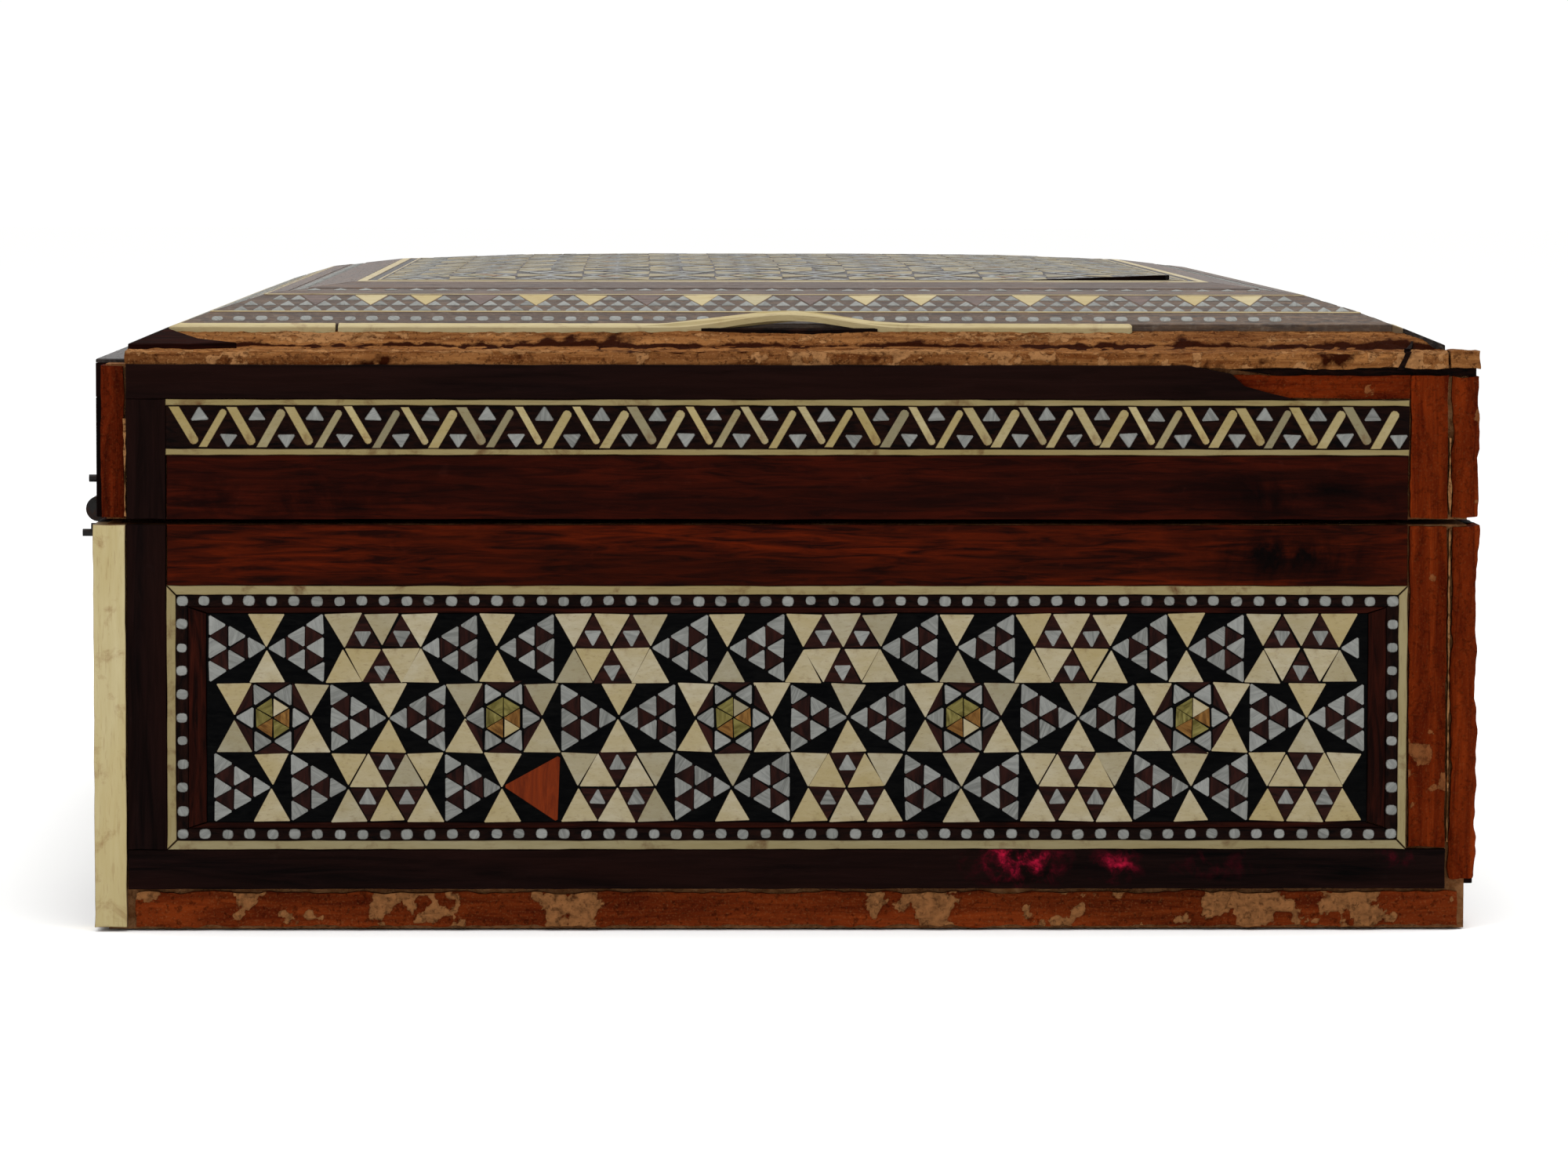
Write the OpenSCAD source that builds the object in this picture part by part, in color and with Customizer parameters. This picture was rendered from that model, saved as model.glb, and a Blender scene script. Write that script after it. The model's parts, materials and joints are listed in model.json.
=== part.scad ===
// Inlaid wooden box with a cushion-shaped hinged lid.
// Origin: centre of the resting face. +Z up, front is -Y, the hinges are on the +Y side.

/* [Overall size] */
// Length of the box, end to end
box_l = 208; // [170:1:260]
// Depth of the box, front to back
box_w = 160; // [132:1:200]

/* [Wooden core] */
// Thickness of the bottom board
bottom_t = 4.7; // [3:0.1:7]
// Thickness of the core walls
wall_t = 6; // [4:0.1:8]
// Thickness of the lid's top board at its edge
top_board_t = 1.3; // [1:0.1:3]
// Gap between the closed lid and the base
parting_gap = 0.6; // [0.4:0.1:1.2]

/* [Side veneer] */
// Thickness of the veneer and inlay on the sides
veneer_t = 1.5; // [1:0.1:2.5]
// Width of a bone strip at a corner
corner_w = 3.75; // [3:0.05:6]
// Width of a stile beside a panel
stile_w = 4.65; // [3:0.05:7]
// Height of the base's lower rail
base_lower_rail_h = 4.6; // [3:0.1:7]
// Height of the base's upper rail
base_upper_rail_h = 7; // [5:0.1:10]
// Hairline between neighbouring strips
seam = 0.1; // [0.05:0.05:0.2]
// Gap between the lowest strips and the floor
foot_gap = 0.3; // [0.2:0.1:1]

/* [Base panels] */
// Height of one row of the mosaic
mosaic_row_h = 8.06; // [6:0.02:10]
// Rows of the mosaic
mosaic_rows = 3; // [2:1:5]
// Width of the bone frame's strips
bone_frame_w = 1.1; // [0.8:0.1:2]
// Width of the dotted border
dot_border_w = 1.4; // [1:0.1:2.5]
// Width of the plain border above and below the mosaic
plain_border_h = 0.7; // [0.4:0.1:2]
// Width of the plain border at the mosaic's ends
plain_border_w = 2.1; // [0.6:0.1:3]

/* [Lid sides] */
// Height of the lid's lower rail
lid_lower_rail_h = 7.4; // [6.5:0.1:10]
// Height of the lid's upper rail
lid_upper_rail_h = 4; // [3:0.1:6]
// Height of the zigzag band
zigzag_h = 4.95; // [3:0.05:8]
// Width of the bone lines above and below the zigzag band
zigzag_line_w = 0.75; // [0.5:0.05:1.5]

/* [Lid top] */
// Shoulder between the lid's edge and the marquetry
shoulder_w = 3.85; // [2:0.05:6]
// Thickness of the marquetry on the lid's top
plate_t = 0.9; // [0.6:0.1:1.5]
// Width of the dark border
border_w = 4.4; // [3:0.1:6]
// Width of the bone stringing beside the border
stringing_w = 1.2; // [0.8:0.1:2]
// Width of the dotted row
lid_dots_w = 3.4; // [2:0.1:5]
// Width of the triangle band
triangle_band_w = 6; // [4:0.1:8]
// Width of the narrow rows inside the triangle band
narrow_rows_w = 10.2; // [6:0.1:12]
// Width of the bone line around the centre panel
panel_line_w = 1.3; // [0.8:0.1:2]
// Slope of the lid's top across the border, the dots, the triangles, the narrow rows and the panel
slopes = [0.42, 0.38, 0.31, 0.124, 0.055];
// Width of the panel's outer slope, where the top is almost flat
panel_slope_w = 16; // [10:1:20]
// Width of the last slope before the level middle
crest_slope_w = 18; // [8:1:20]
// Slope of the last stretch
crest_slope = 0.025; // [0.01:0.005:0.04]

/* [Lining] */
// Thickness of the velvet-covered card
lining_t = 1; // [0.6:0.1:2]
// Drop of the lining's edge below the rim
lining_drop = 0.8; // [0.4:0.1:3]

/* [Hinges] */
// Length of a hinge
hinge_l = 18; // [12:0.5:26]
// Distance from the box's end to the hinge
hinge_end_gap = 27; // [15:0.5:40]
// Radius of the hinge's barrel
barrel_r = 1.5; // [1.4:0.05:2]
// Radius of the hinge pin
pin_r = 0.5; // [0.4:0.05:0.7]
// Radial clearance of the pin in a knuckle
pin_fit = 0.05; // [0.02:0.01:0.08]
// Thickness of a hinge leaf
leaf_t = 0.6; // [0.4:0.05:0.7]
// Height of a hinge leaf
leaf_h = 4.8; // [3.5:0.1:5]
// Gap between a knuckle and its neighbours
knuckle_gap = 0.2; // [0.1:0.05:0.4]
// Radius of a brad
brad_r = 0.45; // [0.3:0.05:0.6]
// Depth of a brad in the wood
brad_depth = 5; // [3:0.5:7]
// Stand of a lower brad's end beyond the box's back
lower_brad_stand = 3.7; // [1:0.1:4]
// Stand of an upper brad's end beyond the box's back
upper_brad_stand = 2.9; // [1:0.1:3]

/* [Hidden] */
$fn = 32;

FRONT = 0;
RIGHT = 1;
BACK = 2;
LEFT = 3;
SIDES = [FRONT, RIGHT, BACK, LEFT];
pine = "#a5713f";
rosewood = "#4a1710";
ebony = "#1b1413";
bone = "#d8cf9f";
silver = "#8c8f90";
mosaic = "#7b6a4c";
velvet = "#5a1418";
iron = "#2a2725";

core_l = box_l - 2 * veneer_t;
core_w = box_w - 2 * veneer_t;
room_l = core_l - 2 * wall_t;
room_w = core_w - 2 * wall_t;
margin = corner_w + stile_w;

// Heights, from the floor up
mosaic_h = mosaic_rows * mosaic_row_h;
border_h = bone_frame_w + dot_border_w + plain_border_h;
panel_h = mosaic_h + 2 * border_h;
panel_z = bottom_t + base_lower_rail_h;
upper_rail_z = panel_z + panel_h;
base_top = upper_rail_z + base_upper_rail_h;
lid_z = base_top + parting_gap;
zigzag_z = lid_z + lid_lower_rail_h;
zigzag_top = zigzag_z + zigzag_h + 2 * zigzag_line_w;
lid_wall_top = zigzag_top + lid_upper_rail_h;
dome_z = lid_wall_top + top_board_t;

// Lid top: distance in from the marquetry's edge, and rise of the board there
plate_l = box_l - 2 * shoulder_w;
plate_w = box_w - 2 * shoulder_w;
band_widths = [
    border_w, stringing_w + lid_dots_w, triangle_band_w, narrow_rows_w, panel_line_w + panel_slope_w, crest_slope_w
];
band_slopes = concat(slopes, [crest_slope]);
function inset(i) = i == 0 ? 0 : inset(i - 1) + band_widths[i - 1];
function rise(i) = i == 0 ? 0 : rise(i - 1) + band_widths[i - 1] * band_slopes[i - 1];
stringing_inset = inset(1) + stringing_w;
panel_inset = inset(4) + panel_line_w;
skirt = 2;

// Hinges
axis_y = box_w / 2 + barrel_r + pin_fit;
axis_z = base_top + parting_gap / 2;
hinge_x = box_l / 2 - hinge_end_gap - hinge_l / 2;
knuckle_l = (hinge_l - 2 * knuckle_gap) / 3;
leaf_gap = barrel_r + knuckle_gap;
head_r = pin_r + 0.45;
head_t = 0.6;
brad_spacing = hinge_l * 2 / 3;
lower_brad_z = axis_z - 3;
upper_brad_z = axis_z + 3.5;

function face_l(side) = side % 2 == 0 ? core_l - 2 * seam : box_w;
function panel_l(side) = face_l(side) - 2 * margin;

// Stands flat work up against the core on one side: x along the side, y up, z outwards.
module on_side(side) {
    reach = (side % 2 == 0 ? core_w : core_l) / 2;
    rotate([0, 0, 90 * side])
        translate([0, -reach, 0])
            rotate([90, 0, 0])
                children();
}

// A level strip across a side, stopping short of each end of it by a set distance.
module rail(side, z, h, stop = corner_w) {
    length = face_l(side) - 2 * stop - 2 * seam;
    on_side(side)
        translate([-length / 2, z, 0])
            cube([length, h, veneer_t]);
}

// An upright strip, its outer edge a set distance in from the end. end is -1 or 1.
module upright(side, end, edge, w, z, h) {
    on_side(side)
        translate([end * (face_l(side) / 2 - edge - w / 2) - w / 2, z, 0])
            cube([w, h, veneer_t]);
}

// Four strips around a rectangle, mitred at the corners. The upright ones may have their own width.
module mitred_frame(l, h, w_level, w_upright) {
    difference() {
        square([l, h], center = true);
        square([l - 2 * w_upright, h - 2 * w_level], center = true);
        for (sx = [-1, 1], sy = [-1, 1])
            translate([sx * (l / 2 - w_upright / 2), sy * (h / 2 - w_level / 2)])
                rotate(sx * sy * atan2(w_level, w_upright))
                    square([2 * (w_level + w_upright), seam], center = true);
    }
}

module side_frame(side, inset_l, inset_h, w_level, w_upright) {
    on_side(side)
        translate([0, panel_z + panel_h / 2, 0])
            linear_extrude(veneer_t)
                mitred_frame(panel_l(side) - 2 * inset_l, panel_h - 2 * inset_h, w_level, w_upright);
}

module bottom_board() {
    color(pine)
        translate([-core_l / 2, -core_w / 2, 0])
            cube([core_l, core_w, bottom_t]);
}

// The strips that cover the bottom board's edge. The left one is missing.
module plinth_strips() {
    color(rosewood)
        for (side = [FRONT, RIGHT, BACK])
            rail(side, foot_gap, bottom_t - foot_gap);
}

// A core wall. The front and back walls run the whole length, and the end walls stand between them.
module wall(side, z, h) {
    length = side % 2 == 0 ? core_l : room_w;
    reach = (side % 2 == 0 ? core_w : core_l) / 2;
    color(pine)
        rotate([0, 0, 90 * side])
            translate([-length / 2, -reach, z])
                cube([length, wall_t, h]);
}

module base_wall(side) {
    wall(side, bottom_t, base_top - bottom_t);
}

module base_lower_rails() {
    color(ebony)
        for (side = SIDES)
            rail(side, bottom_t, base_lower_rail_h);
}

module base_upper_rails() {
    color(rosewood)
        for (side = SIDES)
            rail(side, upper_rail_z, base_upper_rail_h, margin);
}

// The stile at the left end's front edge is missing.
module base_stiles() {
    color(ebony)
        for (side = SIDES, end = [-1, 1])
            if (side != LEFT || end < 0)
                upright(side, end, corner_w + seam, stile_w - seam, panel_z, base_top - panel_z);
}

// Both strips of the corner between the left end and the front are missing.
module base_corner_strips() {
    color(bone)
        for (side = SIDES, end = [-1, 1])
            if (!(side == LEFT && end > 0) && !(side == FRONT && end < 0))
                upright(side, end, 0, corner_w, foot_gap, base_top - foot_gap);
}

module bone_frame(side) {
    color(bone)
        side_frame(side, 0, 0, bone_frame_w, bone_frame_w);
}

module dot_border(side) {
    color(silver)
        side_frame(side, bone_frame_w, bone_frame_w, dot_border_w, dot_border_w);
}

module plain_borders() {
    in = bone_frame_w + dot_border_w;
    color(rosewood)
        for (side = SIDES)
            side_frame(side, in, in, plain_border_h, plain_border_w);
}

module mosaic_panel(side) {
    length = panel_l(side) - 2 * (bone_frame_w + dot_border_w + plain_border_w);
    color(mosaic)
        on_side(side)
            translate([-length / 2, panel_z + border_h, 0])
                cube([length, mosaic_h, veneer_t]);
}

module base_floor_lining() {
    color(velvet)
        translate([-room_l / 2, -room_w / 2, bottom_t])
            cube([room_l, room_w, lining_t]);
}

// Four lining cards against the walls, from one height to another.
module side_cards(z, h) {
    color(velvet)
        for (side = SIDES) {
            length = side % 2 == 0 ? room_l : room_w - 2 * lining_t - 2 * seam;
            reach = (side % 2 == 0 ? room_w : room_l) / 2;
            rotate([0, 0, 90 * side])
                translate([-length / 2, -reach, z])
                    cube([length, lining_t, h]);
        }
}

module base_side_linings() {
    side_cards(bottom_t + lining_t, base_top - bottom_t - lining_t - lining_drop);
}

module lid_ceiling_lining() {
    color(velvet)
        translate([-room_l / 2, -room_w / 2, lid_wall_top - lining_t])
            cube([room_l, room_w, lining_t]);
}

module lid_side_linings() {
    side_cards(lid_z + lining_drop, lid_wall_top - lid_z - lining_t - lining_drop);
}

// One leaf of a hinge about the X axis. up is 1 for the lid's leaf, with the middle knuckle, and -1 for the base's.
module hinge_leaf(up) {
    pitch = knuckle_l + knuckle_gap;
    color(iron)
        difference() {
            union() {
                translate([-hinge_l / 2, box_w / 2 - axis_y, up > 0 ? leaf_gap : -leaf_gap - leaf_h])
                    cube([hinge_l, leaf_t, leaf_h]);
                for (i = up > 0 ? [0] : [-1, 1])
                    translate([i * pitch - knuckle_l / 2, 0, 0]) {
                        rotate([0, 90, 0])
                            cylinder(h = knuckle_l, r = barrel_r);
                        translate([0, box_w / 2 - axis_y, up > 0 ? 0 : -leaf_gap - leaf_t])
                            cube([knuckle_l, leaf_t, leaf_gap + leaf_t]);
                    }
            }
            translate([-hinge_l, 0, 0])
                rotate([0, 90, 0])
                    cylinder(h = 2 * hinge_l, r = pin_r + pin_fit);
            for (end = [-1, 1])
                translate([end * brad_spacing / 2, 0, (up > 0 ? upper_brad_z : lower_brad_z) - axis_z])
                    rotate([90, 0, 0])
                        cylinder(h = 2 * barrel_r + leaf_t, r = brad_r);
        }
}

module placed_leaf(end, up) {
    translate([end * hinge_x, axis_y, axis_z])
        hinge_leaf(up);
}

// A pin with a small head at each end, outside the end knuckles.
module hinge_pin(end) {
    color(iron)
        translate([end * hinge_x - hinge_l / 2, axis_y, axis_z])
            rotate([0, 90, 0]) {
                cylinder(h = hinge_l, r = pin_r);
                translate([0, 0, -head_t])
                    cylinder(h = head_t, r = head_r);
                translate([0, 0, hinge_l])
                    cylinder(h = head_t, r = head_r);
            }
}

module brads(z, stand) {
    color(iron)
        for (end = [-1, 1], side = [-1, 1])
            translate([end * hinge_x + side * brad_spacing / 2, box_w / 2 + stand, z])
                rotate([90, 0, 0])
                    cylinder(h = stand + veneer_t + brad_depth, r = brad_r);
}

module lid_wall(side) {
    wall(side, lid_z, lid_wall_top - lid_z);
}

module lid_lower_rails() {
    color(rosewood)
        for (side = SIDES)
            rail(side, lid_z, lid_lower_rail_h, margin);
}

module lid_upper_rails() {
    color(ebony)
        for (side = SIDES)
            rail(side, zigzag_top, lid_upper_rail_h);
}

// The stile at the left end's front edge is missing here too.
module lid_stiles() {
    color(ebony)
        for (side = SIDES, end = [-1, 1])
            if (side != LEFT || end < 0)
                upright(side, end, corner_w + seam, stile_w - seam, lid_z, zigzag_top - lid_z);
}

// All four strips of the left end's two corners are missing.
module lid_corner_strips() {
    color(bone)
        for (side = [FRONT, RIGHT, BACK], end = [-1, 1])
            if (!(side == FRONT && end < 0) && !(side == BACK && end > 0))
                upright(side, end, 0, corner_w, lid_z, lid_wall_top - lid_z);
}

module zigzag_band(side) {
    color(ebony)
        on_side(side)
            translate([-panel_l(side) / 2, zigzag_z + zigzag_line_w, 0])
                cube([panel_l(side), zigzag_h, veneer_t]);
}

module zigzag_bone_lines() {
    color(bone)
        for (side = SIDES, up = [0, 1])
            on_side(side)
                translate([-panel_l(side) / 2, zigzag_z + up * (zigzag_line_w + zigzag_h), 0])
                    cube([panel_l(side), zigzag_line_w, veneer_t]);
}

// The lid's cushion shape as one solid, raised by a set height, with a skirt beyond the marquetry's edge.
module cushion(raise, depth) {
    last = len(band_widths);
    rings = concat(
        [[-skirt, -skirt * band_slopes[0] - depth], [-skirt, -skirt * band_slopes[0]]],
        [for (i = [1 : last]) [inset(i), rise(i)]]
    );
    corners = [[-1, -1], [1, -1], [1, 1], [-1, 1]];
    points = [
        for (ring = rings, c = corners)
            [c.x * (plate_l / 2 - ring.x), c.y * (plate_w / 2 - ring.x), dome_z + raise + ring.y]
    ];
    top = 4 * (len(rings) - 1);
    walls = [
        for (r = [0 : len(rings) - 2], k = [0 : 3])
            [4 * r + k, 4 * r + 4 + k, 4 * r + 4 + (k + 1) % 4, 4 * r + (k + 1) % 4]
    ];
    polyhedron(points, concat([[0, 1, 2, 3]], walls, [[top + 3, top + 2, top + 1, top]]));
}

module lid_top_board() {
    color(pine)
        union() {
            translate([-box_l / 2, -box_w / 2, lid_wall_top])
                cube([box_l, box_w, top_board_t]);
            intersection() {
                translate([-plate_l / 2, -plate_w / 2, lid_wall_top + top_board_t / 2])
                    cube([plate_l, plate_w, rise(len(band_widths)) + top_board_t]);
                cushion(0, skirt);
            }
        }
}

// A band of the marquetry between two distances in from its edge, in four mitred pieces.
module lid_band(from, to) {
    l = plate_l - 2 * from;
    w = plate_w - 2 * from;
    intersection() {
        translate([0, 0, dome_z - skirt])
            linear_extrude(rise(len(band_widths)) + 2 * skirt)
                mitred_frame(l, w, to - from - seam / 2, to - from - seam / 2);
        difference() {
            cushion(plate_t, 2 * skirt);
            cushion(0, 3 * skirt);
        }
    }
}

// The border's left piece is missing.
module lid_dark_border() {
    reach = plate_w / 2;
    color(ebony)
        difference() {
            lid_band(0, inset(1));
            translate([-plate_l / 2, 0, dome_z - skirt])
                linear_extrude(rise(1) + 2 * skirt)
                    polygon([[-skirt, -reach - skirt], [reach, 0], [-skirt, reach + skirt]]);
        }
}

module lid_bone_stringing() {
    color(bone) lid_band(inset(1), stringing_inset);
}

module lid_dotted_row() {
    color(silver) lid_band(stringing_inset, inset(2));
}

module lid_triangle_band() {
    color(mosaic) lid_band(inset(2), inset(3));
}

module lid_narrow_rows() {
    color(rosewood) lid_band(inset(3), inset(4));
}

module lid_panel_line() {
    color(bone) lid_band(inset(4), panel_inset);
}

module lid_centre_panel() {
    color(mosaic)
        intersection() {
            translate([panel_inset - plate_l / 2, panel_inset - plate_w / 2, dome_z])
                cube([plate_l - 2 * panel_inset, plate_w - 2 * panel_inset, rise(len(band_widths)) + 2 * plate_t]);
            difference() {
                cushion(plate_t, 2 * skirt);
                cushion(0, 3 * skirt);
            }
        }
}

bottom_board();
plinth_strips();
base_wall(FRONT);  // base_wall_front
base_wall(RIGHT);  // base_wall_right
base_wall(BACK);  // base_wall_back
base_wall(LEFT);  // base_wall_left
base_lower_rails();
base_upper_rails();
base_stiles();
base_corner_strips();
mosaic_panel(FRONT);  // mosaic_panel_front
mosaic_panel(RIGHT);  // mosaic_panel_right
mosaic_panel(BACK);  // mosaic_panel_back
mosaic_panel(LEFT);  // mosaic_panel_left
plain_borders();
dot_border(FRONT);  // dot_border_front
dot_border(RIGHT);  // dot_border_right
dot_border(BACK);  // dot_border_back
dot_border(LEFT);  // dot_border_left
bone_frame(FRONT);  // bone_frame_front
bone_frame(RIGHT);  // bone_frame_right
bone_frame(BACK);  // bone_frame_back
bone_frame(LEFT);  // bone_frame_left
base_floor_lining();
base_side_linings();
placed_leaf(-1, -1);  // left_hinge_base_leaf
placed_leaf(1, -1);  // right_hinge_base_leaf
hinge_pin(-1);  // left_hinge_pin
hinge_pin(1);  // right_hinge_pin
brads(lower_brad_z, lower_brad_stand);  // lower_brads
lid_top_board();
lid_wall(FRONT);  // lid_wall_front
lid_wall(RIGHT);  // lid_wall_right
lid_wall(BACK);  // lid_wall_back
lid_wall(LEFT);  // lid_wall_left
lid_lower_rails();
lid_upper_rails();
lid_stiles();
lid_corner_strips();
zigzag_band(FRONT);  // zigzag_band_front
zigzag_band(RIGHT);  // zigzag_band_right
zigzag_band(BACK);  // zigzag_band_back
zigzag_band(LEFT);  // zigzag_band_left
zigzag_bone_lines();
lid_dark_border();
lid_bone_stringing();
lid_dotted_row();
lid_triangle_band();
lid_narrow_rows();
lid_panel_line();
lid_centre_panel();
lid_ceiling_lining();
lid_side_linings();
placed_leaf(-1, 1);  // left_hinge_lid_leaf
placed_leaf(1, 1);  // right_hinge_lid_leaf
brads(upper_brad_z, upper_brad_stand);  // upper_brads
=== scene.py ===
import json
import math
import random

import bmesh
import bpy
from mathutils import Matrix, Vector, noise


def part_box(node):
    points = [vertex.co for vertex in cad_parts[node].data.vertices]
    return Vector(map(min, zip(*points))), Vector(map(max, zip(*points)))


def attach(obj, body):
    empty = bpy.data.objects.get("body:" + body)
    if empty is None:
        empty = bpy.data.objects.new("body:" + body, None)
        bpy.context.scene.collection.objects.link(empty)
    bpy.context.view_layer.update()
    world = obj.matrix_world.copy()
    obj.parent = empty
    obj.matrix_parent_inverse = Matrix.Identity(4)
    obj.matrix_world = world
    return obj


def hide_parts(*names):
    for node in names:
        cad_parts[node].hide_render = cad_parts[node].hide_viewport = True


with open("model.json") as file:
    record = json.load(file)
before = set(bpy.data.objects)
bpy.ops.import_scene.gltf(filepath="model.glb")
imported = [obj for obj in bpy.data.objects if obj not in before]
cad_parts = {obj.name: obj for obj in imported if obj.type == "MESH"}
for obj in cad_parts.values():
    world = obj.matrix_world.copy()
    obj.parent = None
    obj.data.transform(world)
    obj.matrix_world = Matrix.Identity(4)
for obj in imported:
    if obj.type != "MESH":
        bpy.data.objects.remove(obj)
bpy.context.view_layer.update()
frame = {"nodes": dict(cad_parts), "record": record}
mm = 0.001
sides = ("front", "right", "back", "left")
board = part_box("bottom_board")
coreReach = {"front": board[1].y, "right": board[1].x, "back": board[1].y, "left": board[1].x}


# Camera, lights and floor
cameraView = {
    "standOff": 748 * mm,      # from the left end's face to the lens
    "aside": 16.7 * mm,        # towards the hinges
    "height": 91 * mm,
    "lens": 149.4,
    "pitch": 3.93, "yaw": 1.24, "roll": 0.1,
}


def addCamera(v):
    cam = bpy.data.objects.new("camera", bpy.data.cameras.new("camera"))
    bpy.context.scene.collection.objects.link(cam)
    cam.data.lens = v["lens"]
    cam.data.sensor_width = 36
    cam.data.clip_start = 0.01
    aim = Matrix.Rotation(math.radians(-90 - v["yaw"]), 4,
                          "Z") @ Matrix.Rotation(math.radians(90 - v["pitch"]), 4, "X")
    roll = Matrix.Rotation(math.radians(v["roll"]), 4, "Z")
    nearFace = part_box("base_lower_rails")[0].x
    cam.matrix_world = Matrix.Translation((nearFace - v["standOff"], v["aside"], v["height"])) @ aim @ roll
    bpy.context.scene.camera = cam


studio = {
    "worldStrength": 1.03,
    # name: place, size and power of each soft lamp, all aimed at the box
    "lamps": {
        "topLamp": ((-0.15, -0.1, 1.1), 1.1, 7),
        "leftLamp": ((-0.9, 0.8, 0.7), 0.7, 3),
        "frontLamp": ((0.2, -1.2, 0.7), 0.9, 3),
    },
}


def addStudio(s):
    scene = bpy.context.scene
    scene.view_settings.view_transform = "Standard"
    world = bpy.data.worlds.new("studio")
    world.use_nodes = True
    world.node_tree.nodes["Background"].inputs["Color"].default_value = (1, 1, 1, 1)
    world.node_tree.nodes["Background"].inputs["Strength"].default_value = s["worldStrength"]
    scene.world = world
    for name, (place, size, power) in s["lamps"].items():
        lamp = bpy.data.objects.new(name, bpy.data.lights.new(name, "AREA"))
        lamp.data.shape = "DISK"
        lamp.data.size = size
        lamp.data.energy = power
        lamp.location = place
        lamp.rotation_euler = (Vector((0, 0, 0.04)) - Vector(place)).to_track_quat("-Z", "Y").to_euler()
        scene.collection.objects.link(lamp)
    bm = bmesh.new()
    bmesh.ops.create_grid(bm, x_segments=1, y_segments=1, size=6)
    mesh = bpy.data.meshes.new("floor")
    bm.to_mesh(mesh)
    bm.free()
    floor = bpy.data.objects.new("floor", mesh)
    scene.collection.objects.link(floor)
    floor.location.z = -0.0002
    paint = bpy.data.materials.new("paleFloor")
    paint.use_nodes = True
    shader = paint.node_tree.nodes["Principled BSDF"]
    shader.inputs["Base Color"].default_value = (0.97, 0.97, 0.965, 1)
    shader.inputs["Roughness"].default_value = 0.9
    shader.inputs["Specular IOR Level"].default_value = 0
    mesh.materials.append(paint)


addCamera(cameraView)
addStudio(studio)
print("stage: camera and studio")


# Shader groups
def newGroup(name, inputs, outputs):
    tree = bpy.data.node_groups.new(name, "ShaderNodeTree")
    for label, kind, value in inputs:
        socket = tree.interface.new_socket(label, in_out="INPUT", socket_type=kind)
        if value is not None:
            socket.default_value = value
    for label, kind in outputs:
        tree.interface.new_socket(label, in_out="OUTPUT", socket_type=kind)
    return tree, tree.nodes.new("NodeGroupInput"), tree.nodes.new("NodeGroupOutput")


def addNode(tree, kind, settings=None, **links):
    node = tree.nodes.new(kind)
    for key, value in (settings or {}).items():
        setattr(node, key, value)
    for key, value in links.items():
        numbered = key[0] == "i" and key[1:].isdigit()
        socket = node.inputs[int(key[1:]) if numbered else key.replace("_", " ")]
        if isinstance(value, bpy.types.NodeSocket):
            tree.links.new(value, socket)
        else:
            socket.default_value = value
    return node


def math2(tree, operation, a, b):
    return addNode(tree, "ShaderNodeMath", {"operation": operation}, i0=a, i1=b).outputs[0]


def times(tree, a, b):
    return math2(tree, "MULTIPLY", a, b)


def plus(tree, a, b):
    return math2(tree, "ADD", a, b)


def minus(tree, a, b):
    return math2(tree, "SUBTRACT", a, b)


def ramp(tree, value, low, high):
    node = addNode(tree, "ShaderNodeMapRange", {"clamp": True}, Value=value, From_Min=low, From_Max=high)
    return node.outputs[0]


def buildGrain():
    tree, inp, out = newGroup(
        "grain",
        [("Vector", "NodeSocketVector", None), ("Shift", "NodeSocketFloat", 0.0),
         ("Scale", "NodeSocketFloat", 1500.0),
         ("Stretch", "NodeSocketFloat", 14.0), ("Wander", "NodeSocketFloat", 1.0)],
        [("Streaks", "NodeSocketFloat"), ("Bands", "NodeSocketFloat"), ("Pores", "NodeSocketFloat")])
    shift = times(tree, inp.outputs["Shift"], 0.37)
    moved = addNode(tree, "ShaderNodeVectorMath", {"operation": "ADD"}, i0=inp.outputs["Vector"],
                    i1=shift).outputs[0]
    inverse = math2(tree, "DIVIDE", 1.0, inp.outputs["Stretch"])
    squeeze = addNode(tree, "ShaderNodeCombineXYZ", X=inverse, Y=1.0, Z=1.0).outputs[0]
    long = addNode(tree, "ShaderNodeVectorMath", {"operation": "MULTIPLY"}, i0=moved, i1=squeeze).outputs[0]
    streak = addNode(tree, "ShaderNodeTexNoise", Vector=long, Scale=inp.outputs["Scale"], Detail=5.0,
                     Roughness=0.62,
                     Distortion=inp.outputs["Wander"])
    slow = times(tree, inp.outputs["Scale"], 0.16)
    band = addNode(tree, "ShaderNodeTexNoise", Vector=long, Scale=slow, Detail=2.0, Roughness=0.5,
                   Distortion=0.6)
    fine = times(tree, inp.outputs["Scale"], 3.1)
    pore = addNode(tree, "ShaderNodeTexNoise", Vector=long, Scale=fine, Detail=2.0, Roughness=0.5)
    tree.links.new(ramp(tree, streak.outputs[0], 0.36, 0.66), out.inputs["Streaks"])
    tree.links.new(ramp(tree, band.outputs[0], 0.38, 0.62), out.inputs["Bands"])
    tree.links.new(ramp(tree, pore.outputs[0], 0.58, 0.72), out.inputs["Pores"])
    return tree


def buildBlotches():
    tree, inp, out = newGroup(
        "blotches",
        [("Vector", "NodeSocketVector", None), ("Scale", "NodeSocketFloat", 300.0),
         ("Low", "NodeSocketFloat", 0.5),
         ("High", "NodeSocketFloat", 0.6)],
        [("Mask", "NodeSocketFloat"), ("Relief", "NodeSocketFloat")])
    cloud = addNode(tree, "ShaderNodeTexNoise", Vector=inp.outputs["Vector"], Scale=inp.outputs["Scale"],
                    Detail=6.0,
                    Roughness=0.65, Distortion=0.4)
    tree.links.new(ramp(tree, cloud.outputs[0], inp.outputs["Low"], inp.outputs["High"]),
                   out.inputs["Mask"])
    tree.links.new(cloud.outputs[0], out.inputs["Relief"])
    return tree


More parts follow.
